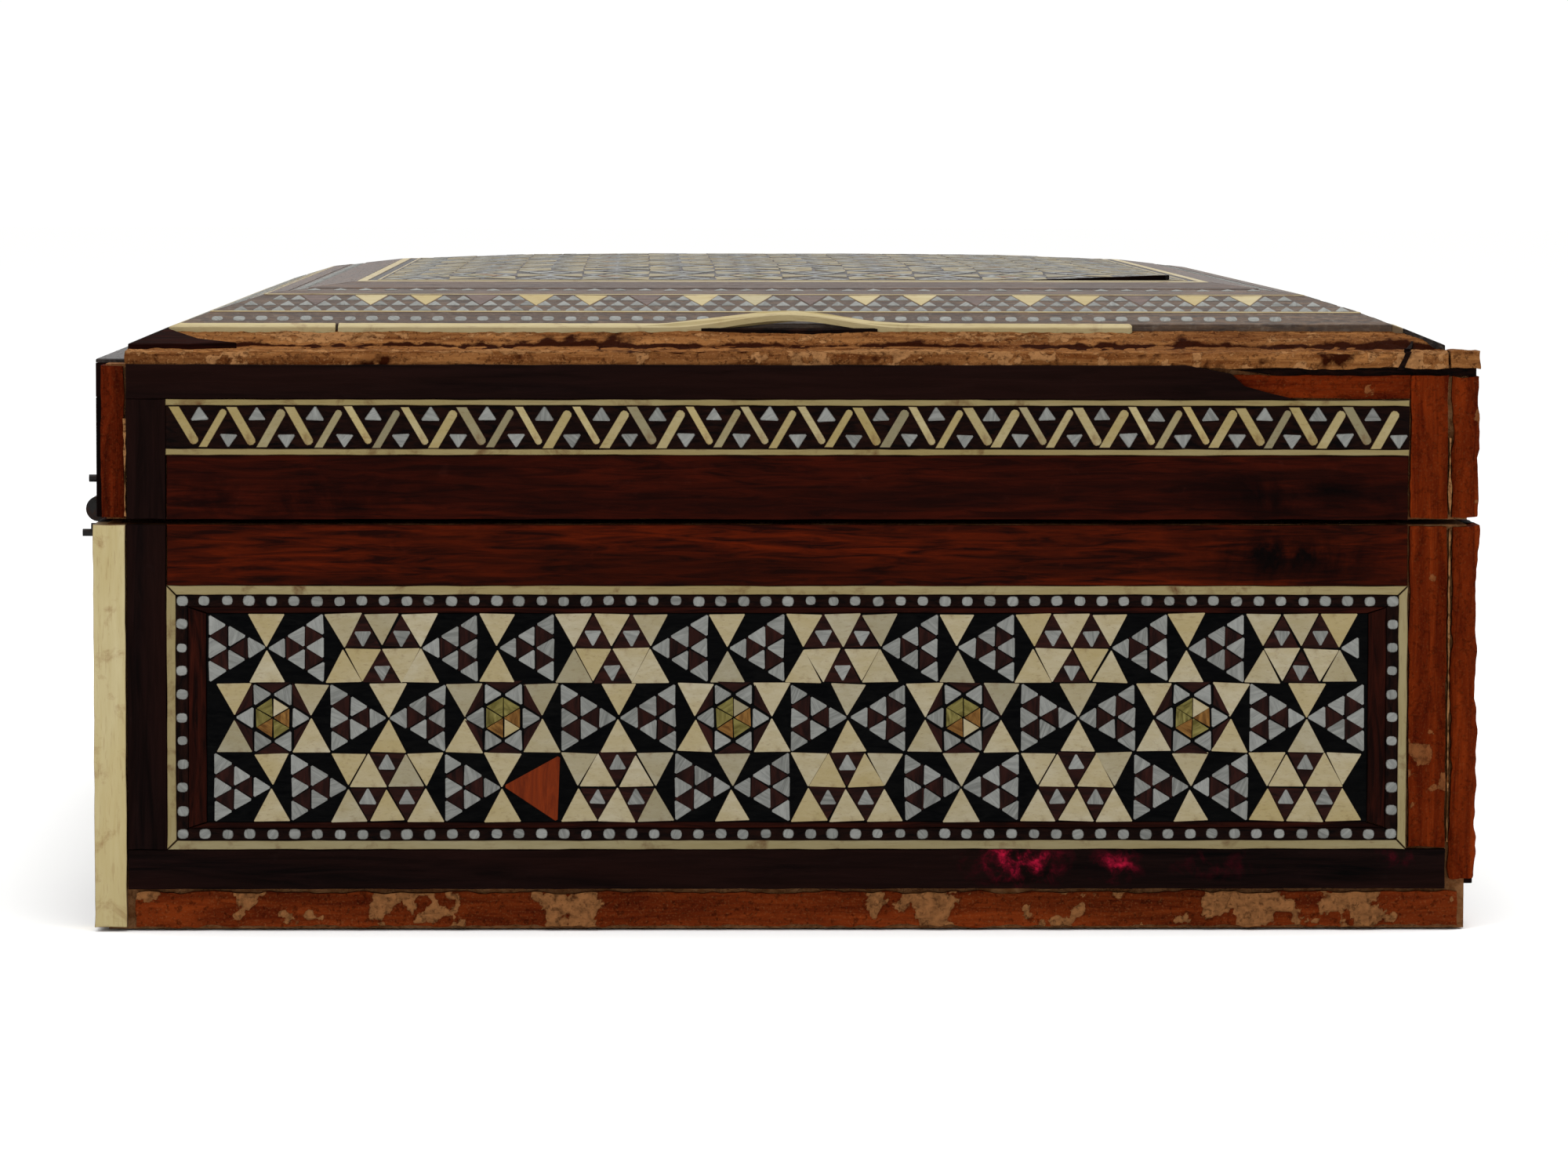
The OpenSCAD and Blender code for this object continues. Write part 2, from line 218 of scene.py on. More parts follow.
grain = buildGrain()
blotches = buildBlotches()


def mixColour(tree, factor, a, b):
    node = addNode(tree, "ShaderNodeMix", {"data_type": "RGBA", "clamp_factor": True})
    for socket, value in ((node.inputs[0], factor), (node.inputs[6], a), (node.inputs[7], b)):
        if isinstance(value, bpy.types.NodeSocket):
            tree.links.new(value, socket)
        elif isinstance(value, (tuple, list)):
            socket.default_value = (*value, 1) if len(value) == 3 else value
        else:
            socket.default_value = value
    return node.outputs[2]


def newMaterial(name, specular, metallic=0.0):
    mat = bpy.data.materials.new(name)
    mat.use_nodes = True
    tree = mat.node_tree
    shader = tree.nodes["Principled BSDF"]
    shader.inputs["Specular IOR Level"].default_value = specular
    shader.inputs["Metallic"].default_value = metallic
    return mat, tree, shader


def finish(tree, shader, colour, roughness, height, bump, distance=0.00005):
    tree.links.new(colour, shader.inputs["Base Color"])
    tree.links.new(roughness, shader.inputs["Roughness"])
    node = addNode(tree, "ShaderNodeBump", Height=height, Strength=bump, Distance=distance)
    tree.links.new(node.outputs[0], shader.inputs["Normal"])


def attribute(tree, name):
    return addNode(tree, "ShaderNodeAttribute", {"attribute_type": "GEOMETRY", "attribute_name": name})


def group(tree, which, **links):
    return addNode(tree, "ShaderNodeGroup", {"node_tree": which}, **links)


def place(tree, own):
    if own:
        return attribute(tree, "along").outputs["Vector"], attribute(tree, "tone").outputs["Fac"]
    return addNode(tree, "ShaderNodeTexCoord").outputs["Object"], 0.3


# Materials
usualWood = dict(bandMix=0.4, rough=0.55, specular=0.03, gloss=0.45, scale=1300, stretch=11, scuff=0.1)
woods = {  # dark and light grain and band, then what differs from the usual: gloss is for the lid's top
    "rosewood": dict(dark=(0.009, 0.0016, 0.001), light=(0.068, 0.0068, 0.0011),
                     band=(0.006, 0.0015, 0.0009), bandMix=0.7, rough=0.5, specular=0.01),
    "darkRosewood": dict(dark=(0.0075, 0.0014, 0.0009), light=(0.03, 0.0034, 0.0012),
                         band=(0.006, 0.0014, 0.001), bandMix=0.7, rough=0.5, specular=0.01),
    # lidBed, lidWood and lidEbony are used only on the lid's top and are paler and browner than the sides'
    # woods: painted sheen of the top
    "lidBed": dict(dark=(0.02, 0.009, 0.004), light=(0.09, 0.047, 0.02), band=(0.03, 0.013, 0.006),
                   bandMix=0.5, gloss=0.33, scale=1600, stretch=5, scuff=0.2),
    "lidWood": dict(dark=(0.02, 0.008, 0.0035), light=(0.1, 0.048, 0.021), band=(0.028, 0.011, 0.005),
                    bandMix=0.6, gloss=0.28, scuff=0.2),
    "lidEbony": dict(dark=(0.004, 0.0025, 0.002), light=(0.02, 0.01, 0.007), band=(0.01, 0.004, 0.003),
                     bandMix=0.5, gloss=0.22, scale=1100, stretch=14, scuff=0.15),
    "brownTile": dict(dark=(0.03, 0.014, 0.009), light=(0.1, 0.05, 0.033), band=(0.05, 0.02, 0.012),
                      bandMix=0.5, rough=0.5, stretch=8),
    "ebony": dict(dark=(0.001, 0.0007, 0.0007), light=(0.006, 0.0023, 0.002), band=(0.011, 0.0032, 0.0022),
                  bandMix=0.5, rough=0.52, specular=0.012, scale=1000, stretch=14, scuff=0.08),
    "blackBed": dict(dark=(0.0005, 0.0006, 0.0008), light=(0.0022, 0.0022, 0.0022),
                     band=(0.001, 0.001, 0.001),
                     rough=0.6, specular=0.015, scale=1600, stretch=4, scuff=0.03),
    "darkBed": dict(dark=(0.0012, 0.0007, 0.0007), light=(0.01, 0.003, 0.0018), band=(0.003, 0.0012, 0.001),
                    rough=0.6, specular=0.02, scale=1600, stretch=4, scuff=0.05),
    "darkBorder": dict(dark=(0.0035, 0.0012, 0.001), light=(0.024, 0.0042, 0.0022),
                       band=(0.006, 0.0018, 0.0012), bandMix=0.6, rough=0.5, specular=0.01, scuff=0.08),
    "darkTile": dict(dark=(0.004, 0.0013, 0.001), light=(0.021, 0.0052, 0.0036),
                     band=(0.007, 0.002, 0.0014), specular=0.04, scale=1200, stretch=5, scuff=0.05),
    "redTile": dict(dark=(0.075, 0.01, 0.002), light=(0.15, 0.021, 0.003), band=(0.07, 0.01, 0.002),
                    rough=0.5, specular=0.04, scale=900, stretch=5, scuff=0.05),
    "oliveTile": dict(dark=(0.05, 0.04, 0.008), light=(0.17, 0.145, 0.045), band=(0.08, 0.065, 0.015),
                      specular=0.06, scale=1200, stretch=4, scuff=0.05),
    "amberTile": dict(dark=(0.06, 0.025, 0.005), light=(0.2, 0.1, 0.025), band=(0.1, 0.04, 0.008),
                      specular=0.06, scale=1200, stretch=4, scuff=0.05),
}
woods = {name: {**usualWood, **own} for name, own in woods.items()}


def spotMask(tree, vector, spots):  # soft-edged stains at the given places, each with its own reach
    total = None
    for spot, (rx, ry, rz), weight in spots:
        away = addNode(tree, "ShaderNodeVectorMath", {"operation": "SUBTRACT"}, i0=vector,
                       i1=spot).outputs[0]
        scaled = addNode(tree, "ShaderNodeVectorMath", {"operation": "MULTIPLY"}, i0=away,
                         i1=(1 / rx, 1 / ry, 1 / rz)).outputs[0]
        length = addNode(tree, "ShaderNodeVectorMath", {"operation": "LENGTH"}, i0=scaled).outputs["Value"]
        near = addNode(tree, "ShaderNodeMapRange", {"clamp": True}, Value=length, From_Min=1.0,
                       From_Max=0.1, To_Max=weight).outputs[0]
        total = near if total is None else math2(tree, "MAXIMUM", total, near)
    return total


def woodMaterial(name, s, own=True, gloss=False, stains=None):
    mat, tree, shader = newMaterial(name, s["gloss"] if gloss else s["specular"])
    vector, tone = place(tree, own)
    g = group(tree, grain, Vector=vector, Shift=tone, Scale=float(s["scale"]), Stretch=float(s["stretch"]),
              Wander=0.8)
    colour = mixColour(tree, g.outputs["Streaks"], s["dark"], s["light"])
    bands = times(tree, g.outputs["Bands"], s["bandMix"])
    colour = mixColour(tree, bands, colour, s["band"])
    scuff = group(tree, blotches, Vector=vector, Scale=420.0, Low=0.62, High=0.8)
    worn = times(tree, scuff.outputs["Mask"], s["scuff"])
    colour = mixColour(tree, worn, colour, tuple(min(1, 3 * c + 0.012) for c in s["light"]))
    if own:
        rim = times(tree, attribute(tree, "rim").outputs["Fac"], 0.2)
        colour = mixColour(tree, rim, colour, s["dark"])
    if gloss:
        # pale brownish haze on the lid's top woods: partly dust, partly painted sheen of the top seen at a
        # grazing angle
        dustAndSheenSpots = group(tree, blotches, Vector=vector, Scale=1100.0, Low=0.5, High=0.68)
        dustAndSheenFilm = group(tree, blotches, Vector=vector, Scale=150.0, Low=0.35, High=0.65)
        dustAndSheen = times(tree, dustAndSheenSpots.outputs["Mask"], times(tree, dustAndSheenFilm.outputs["Mask"], 0.35))
        colour = mixColour(tree, dustAndSheen, colour, (0.2, 0.165, 0.13))
    if stains:
        where = addNode(tree, "ShaderNodeTexCoord").outputs["Object"]
        cloud = group(tree, blotches, Vector=where, Scale=stains["grain"], Low=0.36, High=0.62)
        near = spotMask(tree, where, stains["spots"])
        mask = ramp(tree, times(tree, near, cloud.outputs["Mask"]), stains["low"], stains["high"])
        fleck = group(tree, blotches, Vector=where, Scale=1100.0, Low=0.35, High=0.7)
        core = times(tree, mask, times(tree, mask, fleck.outputs["Mask"]))
        stain = mixColour(tree, core, stains["deep"], stains["bright"])
        colour = mixColour(tree, mask, colour, stain)
    rough = times(tree, g.outputs["Pores"], 0.2)
    rough = plus(tree, rough, s["rough"] - (0.1 if gloss else 0))
    height = minus(tree, g.outputs["Streaks"], g.outputs["Pores"])
    finish(tree, shader, colour, rough, height, 0.35)
    return mat


boneLook = {
    "cream": (0.46, 0.375, 0.185), "pale": (0.56, 0.48, 0.275), "yellow": (0.38, 0.27, 0.075),
    "grey": (0.2, 0.185, 0.12),
    "stain": (0.15, 0.055, 0.012), "glue": (0.07, 0.022, 0.006),
}


tileLook = dict(boneLook, cream=(0.49, 0.42, 0.265), pale=(0.62, 0.56, 0.41), yellow=(0.42, 0.31, 0.1))


def boneMaterial(name, s, specular=0.2, greyed=0.0, stained=0.5, dim=1.0, fibre=2.5):
    mat, tree, shader = newMaterial(name, specular)
    vector, tone = place(tree, True)
    look = {k: tuple(dim * c for c in v) for k, v in s.items()}
    g = group(tree, grain, Vector=vector, Shift=tone, Scale=1300.0, Stretch=fibre, Wander=0.4)
    colour = mixColour(tree, times(tree, g.outputs["Streaks"], 0.6), look["cream"], look["pale"])
    colour = mixColour(tree, times(tree, g.outputs["Bands"], 0.35), colour, look["yellow"])
    yellow = ramp(tree, tone, 0.62, 1.0)
    colour = mixColour(tree, times(tree, yellow, 0.55), colour, look["yellow"])
    grey = ramp(tree, minus(tree, 0.2 + greyed * 0.4, tone), 0.0, 0.35)
    colour = mixColour(tree, times(tree, grey, 0.7), colour, look["grey"])
    blot = group(tree, blotches, Vector=vector, Scale=260.0, Low=0.56, High=0.74)
    colour = mixColour(tree, times(tree, blot.outputs["Mask"], stained), colour, look["stain"])
    colour = mixColour(tree, times(tree, g.outputs["Pores"], 0.22), colour, look["stain"])
    rim = attribute(tree, "rim").outputs["Fac"]
    colour = mixColour(tree, times(tree, rim, 0.8), colour, look["glue"])
    rough = plus(tree, times(tree, blot.outputs["Relief"], 0.25), 0.35)
    finish(tree, shader, colour, rough, minus(tree, g.outputs["Streaks"], g.outputs["Pores"]), 0.25)
    return mat


def silverMaterial(name, dim=1.0):
    mat, tree, shader = newMaterial(name, 0.2, 0.2)
    vector, tone = place(tree, True)
    angle = addNode(tree, "ShaderNodeVectorRotate", {"rotation_type": "Z_AXIS"}, Vector=vector,
                    Angle=times(tree, tone, 6.28)).outputs[0]
    g = group(tree, grain, Vector=angle, Shift=tone, Scale=3000.0, Stretch=12.0, Wander=0.2)
    light, dark, bright = ((dim * a, dim * b, dim * c) for a, b,
                           c in ((0.155, 0.158, 0.148), (0.085, 0.087, 0.08), (0.29, 0.295, 0.275)))
    colour = mixColour(tree, tone, dark, light)
    colour = mixColour(tree, times(tree, g.outputs["Streaks"], 0.4), colour, bright)
    colour = mixColour(tree, times(tree, g.outputs["Pores"], 0.45), colour, (0.07, 0.07, 0.07))
    blot = group(tree, blotches, Vector=vector, Scale=900.0, Low=0.5, High=0.75)
    colour = mixColour(tree, times(tree, blot.outputs["Mask"], 0.4), colour, (0.1, 0.1, 0.085))
    rim = attribute(tree, "rim").outputs["Fac"]
    colour = mixColour(tree, times(tree, rim, 0.75), colour, (0.04, 0.035, 0.03))
    rough = plus(tree, times(tree, blot.outputs["Mask"], 0.2), 0.45)
    finish(tree, shader, colour, rough, g.outputs["Streaks"], 0.3)
    return mat


bareLook = {
    "darkBareWood": dict(deep=(0.008, 0.001, 0.0003), low=(0.025, 0.0025, 0.0005),
                         high=(0.085, 0.0095, 0.0015),
                         flake=(0.15, 0.05, 0.015), flakes=0.6, specks=0.3),
    "bareWood": dict(deep=(0.02, 0.0022, 0.0005), low=(0.06, 0.0055, 0.0008), high=(0.175, 0.022, 0.0025),
                     flake=(0.19, 0.075, 0.025), flakes=0.6, specks=0.25),
    "glueyWood": dict(deep=(0.014, 0.0022, 0.0005), low=(0.06, 0.0075, 0.0015), high=(0.15, 0.024, 0.004),
                      flake=(0.2, 0.085, 0.03), flakes=0.95, specks=0.5),
    "tanWood": dict(deep=(0.028, 0.005, 0.001), low=(0.085, 0.026, 0.006), high=(0.235, 0.1, 0.031),
                    flake=(0.3, 0.15, 0.06), flakes=0.6, specks=0.7),
    "coreWood": dict(deep=(0.06, 0.02, 0.006), low=(0.16, 0.06, 0.02), high=(0.27, 0.13, 0.055),
                     flake=(0.3, 0.17, 0.08), flakes=0.25, specks=0.3),
}


def bareMaterial(name, s, own=True):
    mat, tree, shader = newMaterial(name, 0.008)
    vector, tone = place(tree, own)
    g = group(tree, grain, Vector=vector, Shift=tone, Scale=800.0, Stretch=10.0, Wander=0.8)
    colour = mixColour(tree, g.outputs["Streaks"], s["low"], s["high"])
    colour = mixColour(tree, times(tree, g.outputs["Bands"], 0.4), colour, s["deep"])
    fineNoise = group(tree, blotches, Vector=vector, Scale=900.0, Low=0.3, High=0.7)
    if own:
        patch = plus(tree, attribute(tree, "flake").outputs["Fac"],
                      minus(tree, fineNoise.outputs["Mask"], 0.5))
        mask = ramp(tree, patch, 0.45, 0.6)
        # darker where the flake value is low: dirt, and the painted shade in the lid edge's groove
        dirtAndGrooveShade = ramp(tree, minus(tree, times(tree, fineNoise.outputs["Mask"], 0.4),
                                attribute(tree, "flake").outputs["Fac"]), 0.35, 0.75)
    else:
        mask = group(tree, blotches, Vector=vector, Scale=200.0, Low=0.54, High=0.58).outputs["Mask"]
        dirtAndGrooveShade = 0.0
    crackle = ramp(tree, fineNoise.outputs["Relief"], 0.35, 0.6)
    flake = mixColour(tree, crackle, tuple(0.45 * c for c in s["flake"]), s["flake"])
    colour = mixColour(tree, times(tree, mask, s["flakes"]), colour, flake)
    specks = group(tree, blotches, Vector=vector, Scale=1500.0, Low=0.56, High=0.66)
    colour = mixColour(tree, times(tree, specks.outputs["Mask"], s["specks"]), colour, s["deep"])
    hairs = addNode(tree, "ShaderNodeTexNoise", Vector=vector, Scale=4200.0, Detail=2.0)
    colour = mixColour(tree, times(tree, ramp(tree, hairs.outputs[0], 0.55, 0.75), 0.6 * s["specks"]),
                       colour, s["flake"])
    colour = mixColour(tree, dirtAndGrooveShade, colour, tuple(0.6 * c for c in s["deep"]))
    rough = plus(tree, times(tree, mask, 0.2), 0.6)
    height = plus(tree, g.outputs["Streaks"], minus(tree, mask, specks.outputs["Mask"]))
    finish(tree, shader, colour, rough, height, 0.7, 0.00015)
    return mat


def velvetMaterial():
    mat, tree, shader = newMaterial("velvet", 0.1)
    vector, _ = place(tree, False)
    pile = addNode(tree, "ShaderNodeTexNoise", Vector=vector, Scale=2600.0, Detail=4.0)
    brushed = group(tree, blotches, Vector=vector, Scale=45.0, Low=0.4, High=0.62)
    colour = mixColour(tree, brushed.outputs["Mask"], (0.085, 0.004, 0.008), (0.17, 0.012, 0.018))
    colour = mixColour(tree, times(tree, pile.outputs[0], 0.35), colour, (0.03, 0.001, 0.003))
    shader.inputs["Sheen Weight"].default_value = 0.35
    shader.inputs["Sheen Roughness"].default_value = 0.4
    shader.inputs["Sheen Tint"].default_value = (0.7, 0.25, 0.28, 1)
    rough = plus(tree, times(tree, pile.outputs[0], 0.1), 0.85)
    finish(tree, shader, colour, rough, pile.outputs[0], 0.5, 0.0002)
    return mat


def ironMaterial():
    mat, tree, shader = newMaterial("blackIron", 0.4, 0.6)
    vector, _ = place(tree, False)
    rust = group(tree, blotches, Vector=vector, Scale=700.0, Low=0.5, High=0.66)
    colour = mixColour(tree, times(tree, rust.outputs["Mask"], 0.7), (0.008, 0.007, 0.0065),
                       (0.035, 0.013, 0.006))
    rough = plus(tree, times(tree, rust.outputs["Mask"], 0.35), 0.38)
    finish(tree, shader, colour, rough, rust.outputs["Relief"], 0.5, 0.0001)
    return mat


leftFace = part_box("base_lower_rails")[0].x - 0.2 * mm
crimson = {  # spilt on the lower rail
    "spots": [((leftFace, -0.0265, 0.008), (0.02, 0.0085, 0.005), 1.0),
              ((leftFace, -0.038, 0.0075), (0.02, 0.005, 0.0032), 0.85),
              ((leftFace, -0.05, 0.0075), (0.02, 0.01, 0.003), 0.42),
              ((leftFace, -0.0705, 0.0085), (0.02, 0.004, 0.0025), 0.5)],
    "grain": 420.0, "low": 0.14, "high": 0.75, "deep": (0.03, 0.0012, 0.004),
    "bright": (0.33, 0.006, 0.028),
}
darkened = {  # old damp marks near the front edge
    "spots": [((leftFace, -0.057, 0.0432), (0.02, 0.022, 0.005), 0.9),
              ((leftFace, -0.06, 0.0505), (0.02, 0.02, 0.0045), 0.9),
              ((leftFace, 0.06, 0.05), (0.02, 0.04, 0.005), 0.6)],
    "grain": 120.0, "low": 0.1, "high": 0.75, "deep": (0.0012, 0.0006, 0.0006),
    "bright": (0.003, 0.001, 0.0008),
}
mats = {}
for name, s in woods.items():
    mats[name] = woodMaterial(name, s)
    mats[name + "Top"] = woodMaterial(name + "Top", s, gloss=True)
mats["stainedEbony"] = woodMaterial("stainedEbony", woods["ebony"], stains=crimson)
mats["endRosewood"] = woodMaterial("endRosewood", woods["rosewood"], stains=darkened)
mats["endDarkRosewood"] = woodMaterial("endDarkRosewood", woods["darkRosewood"], stains=darkened)
mats["bone"] = boneMaterial("bone", boneLook, specular=0.1, stained=0.7, dim=0.92, fibre=9.0)
mats["boneLine"] = boneMaterial("boneLine", boneLook, specular=0.08, stained=0.95, dim=0.42, fibre=9.0)
mats["boneTile"] = boneMaterial("boneTile", tileLook, specular=0.1, greyed=0.3, stained=0.6, dim=0.54)
mats["boneBar"] = boneMaterial("boneBar", boneLook, specular=0.08, greyed=0.5, stained=0.9, dim=0.52)
mats["boneBarPale"] = boneMaterial("boneBarPale", boneLook, specular=0.08, greyed=0.2, stained=0.7,
                                   dim=0.62)
# the lid's top copies: boneTop and boneTileTop are dimmer and pewterTop brighter than the sides' copies,
# painted shade and painted light for the top
mats["boneTop"] = boneMaterial("boneTop", boneLook, specular=0.4, stained=0.6, dim=0.75, fibre=6.0)
mats["boneTileTop"] = boneMaterial("boneTileTop", boneLook, specular=0.4, greyed=0.6, stained=0.6, dim=0.42)
mats["pewter"] = silverMaterial("pewter")
mats["pewterTop"] = silverMaterial("pewterTop", 1.15)
for name, s in bareLook.items():
    mats[name] = bareMaterial(name, s, name != "coreWood")
mats["velvet"] = velvetMaterial()
mats["iron"] = ironMaterial()
print("stage: materials", len(mats))


# Shared mesh tools
def sideMatrix(side):  # x along the side, y up from the floor, z outwards from the core
    turn = Matrix.Rotation(math.radians(90 * sides.index(side)), 4, "Z")
    return turn @ Matrix.Translation((0, -coreReach[side], 0)) @ Matrix.Rotation(math.radians(90), 4, "X")


def newSlabs():
    bm = bmesh.new()
    layers = {"along": bm.verts.layers.float_vector.new("along")}
    for name in ("rim", "tone", "flake"):
        layers[name] = bm.verts.layers.float.new(name)
    return bm, layers


def insetLoop(loop, by):
    found = []
    count = len(loop)
    for i in range(count):
        a, b, c = loop[i - 1], loop[i], loop[(i + 1) % count]
        before, after = (b - a).normalized(), (c - b).normalized()
        bisector = before + after
        if bisector.length < 1e-6:
            bisector = before
        bisector.normalize()
        inward = Vector((-bisector.y, bisector.x))
        reach = by / max(0.35, abs(inward.dot(Vector((-before.y, before.x)))))
        found.append(b + inward * reach)
    return found


def closeRings(bm, rings):  # a solid through rings of equal count, bottom ring first
    count = len(rings[0])
    bm.faces.new(list(reversed(rings[0])))
    for lower, upper in zip(rings, rings[1:]):
        for i in range(count):
            bm.faces.new((lower[i], lower[(i + 1) % count], upper[(i + 1) % count], upper[i]))
    bm.faces.new(rings[-1])


def cornerRing(bm, layers, x, y, z):  # the four corners of a rectangle about the middle
    ring = []
    for sx, sy in ((-1, -1), (1, -1), (1, 1), (-1, 1)):
        v = bm.verts.new((sx * x, sy * y, z))
        v[layers["along"]] = v.co
        v[layers["tone"]] = 0.4
        ring.append(v)
    return ring


def addSlab(bm, layers, outline, low, high, chamfer, tone=0.5, sideways=False, place=None, dark=1.0):
    inner = insetLoop(outline, chamfer)
    rows = [(outline, low, dark), (outline, high - chamfer, dark), (inner, high, 0.0)]
    rings = []
    for loop, z, rim in rows:
        ring = []
        for p in loop:
            v = bm.verts.new(place(Vector((p.x, p.y, z))) if place else (p.x, p.y, z))
            v[layers["along"]] = (p.y, p.x, z) if sideways else (p.x, p.y, z)
            v[layers["rim"]] = rim
            v[layers["tone"]] = tone
            ring.append(v)
        rings.append(ring)
    closeRings(bm, rings)


def roughLoop(corners, step, wobble, seed):  # sampled along straight edges, then nudged off them a little
    found = []
    for i, a in enumerate(corners):
        b = corners[(i + 1) % len(corners)]
        length = (b - a).length
        normal = Vector(((b - a).y, -(b - a).x)).normalized()
        count = max(1, round(length / step))
        for k in range(count):
            t = k / count
            p = a.lerp(b, t)
            sway = noise.noise(Vector((p.x * 260, p.y * 260, seed))) + 0.5 * noise.noise(Vector((p.x * 900,
                                                                                                 p.y * 900,
                                                                                                 seed + 7)))
            found.append(p + normal * (wobble * (sway - 0.55) if k else -0.3 * wobble))
    return found


def islands(node):  # each solid of a CAD node, as its corners
    bm = bmesh.new()
    bm.from_mesh(frame["nodes"][node].data)
    bmesh.ops.remove_doubles(bm, verts=bm.verts, dist=1e-6)
    left = set(bm.verts)
    found = []
    while left:
        todo, seen = [left.pop()], []
        while todo:
            v = todo.pop()
            seen.append(v.co.copy())
            for e in v.link_edges:
                other = e.other_vert(v)
                if other in left:
                    left.remove(other)
                    todo.append(other)
        found.append(seen)
    bm.free()
    return sorted(found, key=lambda c: tuple(round(x, 5) for x in sum(c, Vector()) / len(c)))


def hull(points):
    points = sorted({(round(p.x, 7), round(p.y, 7)) for p in points})

    def half(run):
        chain = []
        for p in run:
            while len(chain) > 1 and ((chain[-1][0] - chain[-2][0]) * (p[1] - chain[-2][1])
                                      - (chain[-1][1] - chain[-2][1]) * (p[0] - chain[-2][0])) <= 1e-13:
                chain.pop()
            chain.append(p)
        return chain[:-1]
    return [Vector(p) for p in half(points) + half(points[::-1])]


def sideOf(corners):
    centre = sum(corners, Vector()) / len(corners)
    if abs(centre.x) / coreReach["left"] > abs(centre.y) / coreReach["front"]:
        return "left" if centre.x < 0 else "right"
    return "front" if centre.y < 0 else "back"


def newObject(name, mesh, materials=(), body=None, replaces=()):
    ob = bpy.data.objects.new(name, mesh)
    bpy.context.scene.collection.objects.link(ob)
    for paint in materials:
        mesh.materials.append(mats[paint])
    if body:
        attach(ob, body)
    if replaces:
        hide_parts(*replaces)
    return ob


def meshFrom(bm, name):
    mesh = bpy.data.meshes.new(name)
    bm.normal_update()
    bm.to_mesh(mesh)
    bm.free()
    return mesh


veneerThickness = -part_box("mosaic_panel_left")[0].x - coreReach["left"]
veneer = {"step": 1.6 * mm, "wobble": 0.07 * mm, "chamfer": 0.08 * mm, "lowered": 0.02 * mm}


# One veneer piece for each solid of a CAD node, on its own side. A side may have its own outline, and the
# left end its own finish.
def strips(name, node, material, body, lower=0.0, wobble=veneer["wobble"], leftMaterial=None,
           outlines=None):
    bm, layers = newSlabs()
    rng = random.Random(node)
    for corners in islands(node):
        side = sideOf(corners)
        to = sideMatrix(side)
        back = to.inverted()
        loop = hull([(back @ c).to_2d() for c in corners])
        xs, ys = [p.x for p in loop], [p.y for p in loop]
        upright = max(ys) - min(ys) > max(xs) - min(xs)
        if outlines and side in outlines:
            loop = outlines[side](loop)
        loop = roughLoop(loop, veneer["step"], wobble, rng.uniform(0, 90))
        top = veneerThickness - lower - rng.uniform(0, veneer["lowered"])
        count = len(bm.faces)
        addSlab(bm, layers, loop, 0, top, veneer["chamfer"], rng.random(), upright, lambda v: to @ v)
        bm.faces.ensure_lookup_table()
        for face in bm.faces[count:]:
            face.material_index = 1 if side == "left" and leftMaterial else 0
    names = (material, leftMaterial) if leftMaterial else (material,)
    return newObject(name, meshFrom(bm, name), names, body, (node,))


# Veneer strips on the sides
def tornRail(loop):  # the left end's upper rail has lost its last stretch, along a slant
    x0, x1 = min(p.x for p in loop), max(p.x for p in loop)
    y0, y1 = min(p.y for p in loop), max(p.y for p in loop)
    tear = [(0.6, 0.0), (0.52, 0.4), (0.5, 0.75), (0.43, 1.0)]
    mid = (x0 + x1) / 2
    return [Vector((x0, y0))] + [Vector((mid + (x1 - mid) * (a + 0.17), y0 + (y1 - y0) * b)) for a,
                                 b in tear] + [
        Vector((x0, y1))]


def brokenPlinth(loop):  # the front plinth strip has lost its left corner too
    x0 = min(p.x for p in loop)
    return [Vector((p.x + (17 * mm + p.y * 0.8 if p.x < x0 + mm else 0), p.y)) for p in loop]


strips("baseLowerRails", "base_lower_rails", "ebony", "base", leftMaterial="stainedEbony")
strips("baseUpperRails", "base_upper_rails", "rosewood", "base", leftMaterial="endRosewood")
strips("baseStiles", "base_stiles", "ebony", "base")
strips("baseCornerStrips", "base_corner_strips", "bone", "base")
strips("plinthStrips", "plinth_strips", "rosewood", "base", outlines={"front": brokenPlinth})
strips("plainBorders", "plain_borders", "darkBorder", "base")
strips("lidLowerRails", "lid_lower_rails", "darkRosewood", "lid",
       leftMaterial="endDarkRosewood")
strips("lidUpperRails", "lid_upper_rails", "ebony", "lid", outlines={"left": tornRail})
strips("lidStiles", "lid_stiles", "ebony", "lid")
strips("lidCornerStrips", "lid_corner_strips", "bone", "lid")
strips("zigzagBoneLines", "zigzag_bone_lines", "boneLine", "lid")
for side in sides:
    strips("boneFrame_" + side, "bone_frame_" + side, "boneLine", "base")
print("stage: veneer strips")


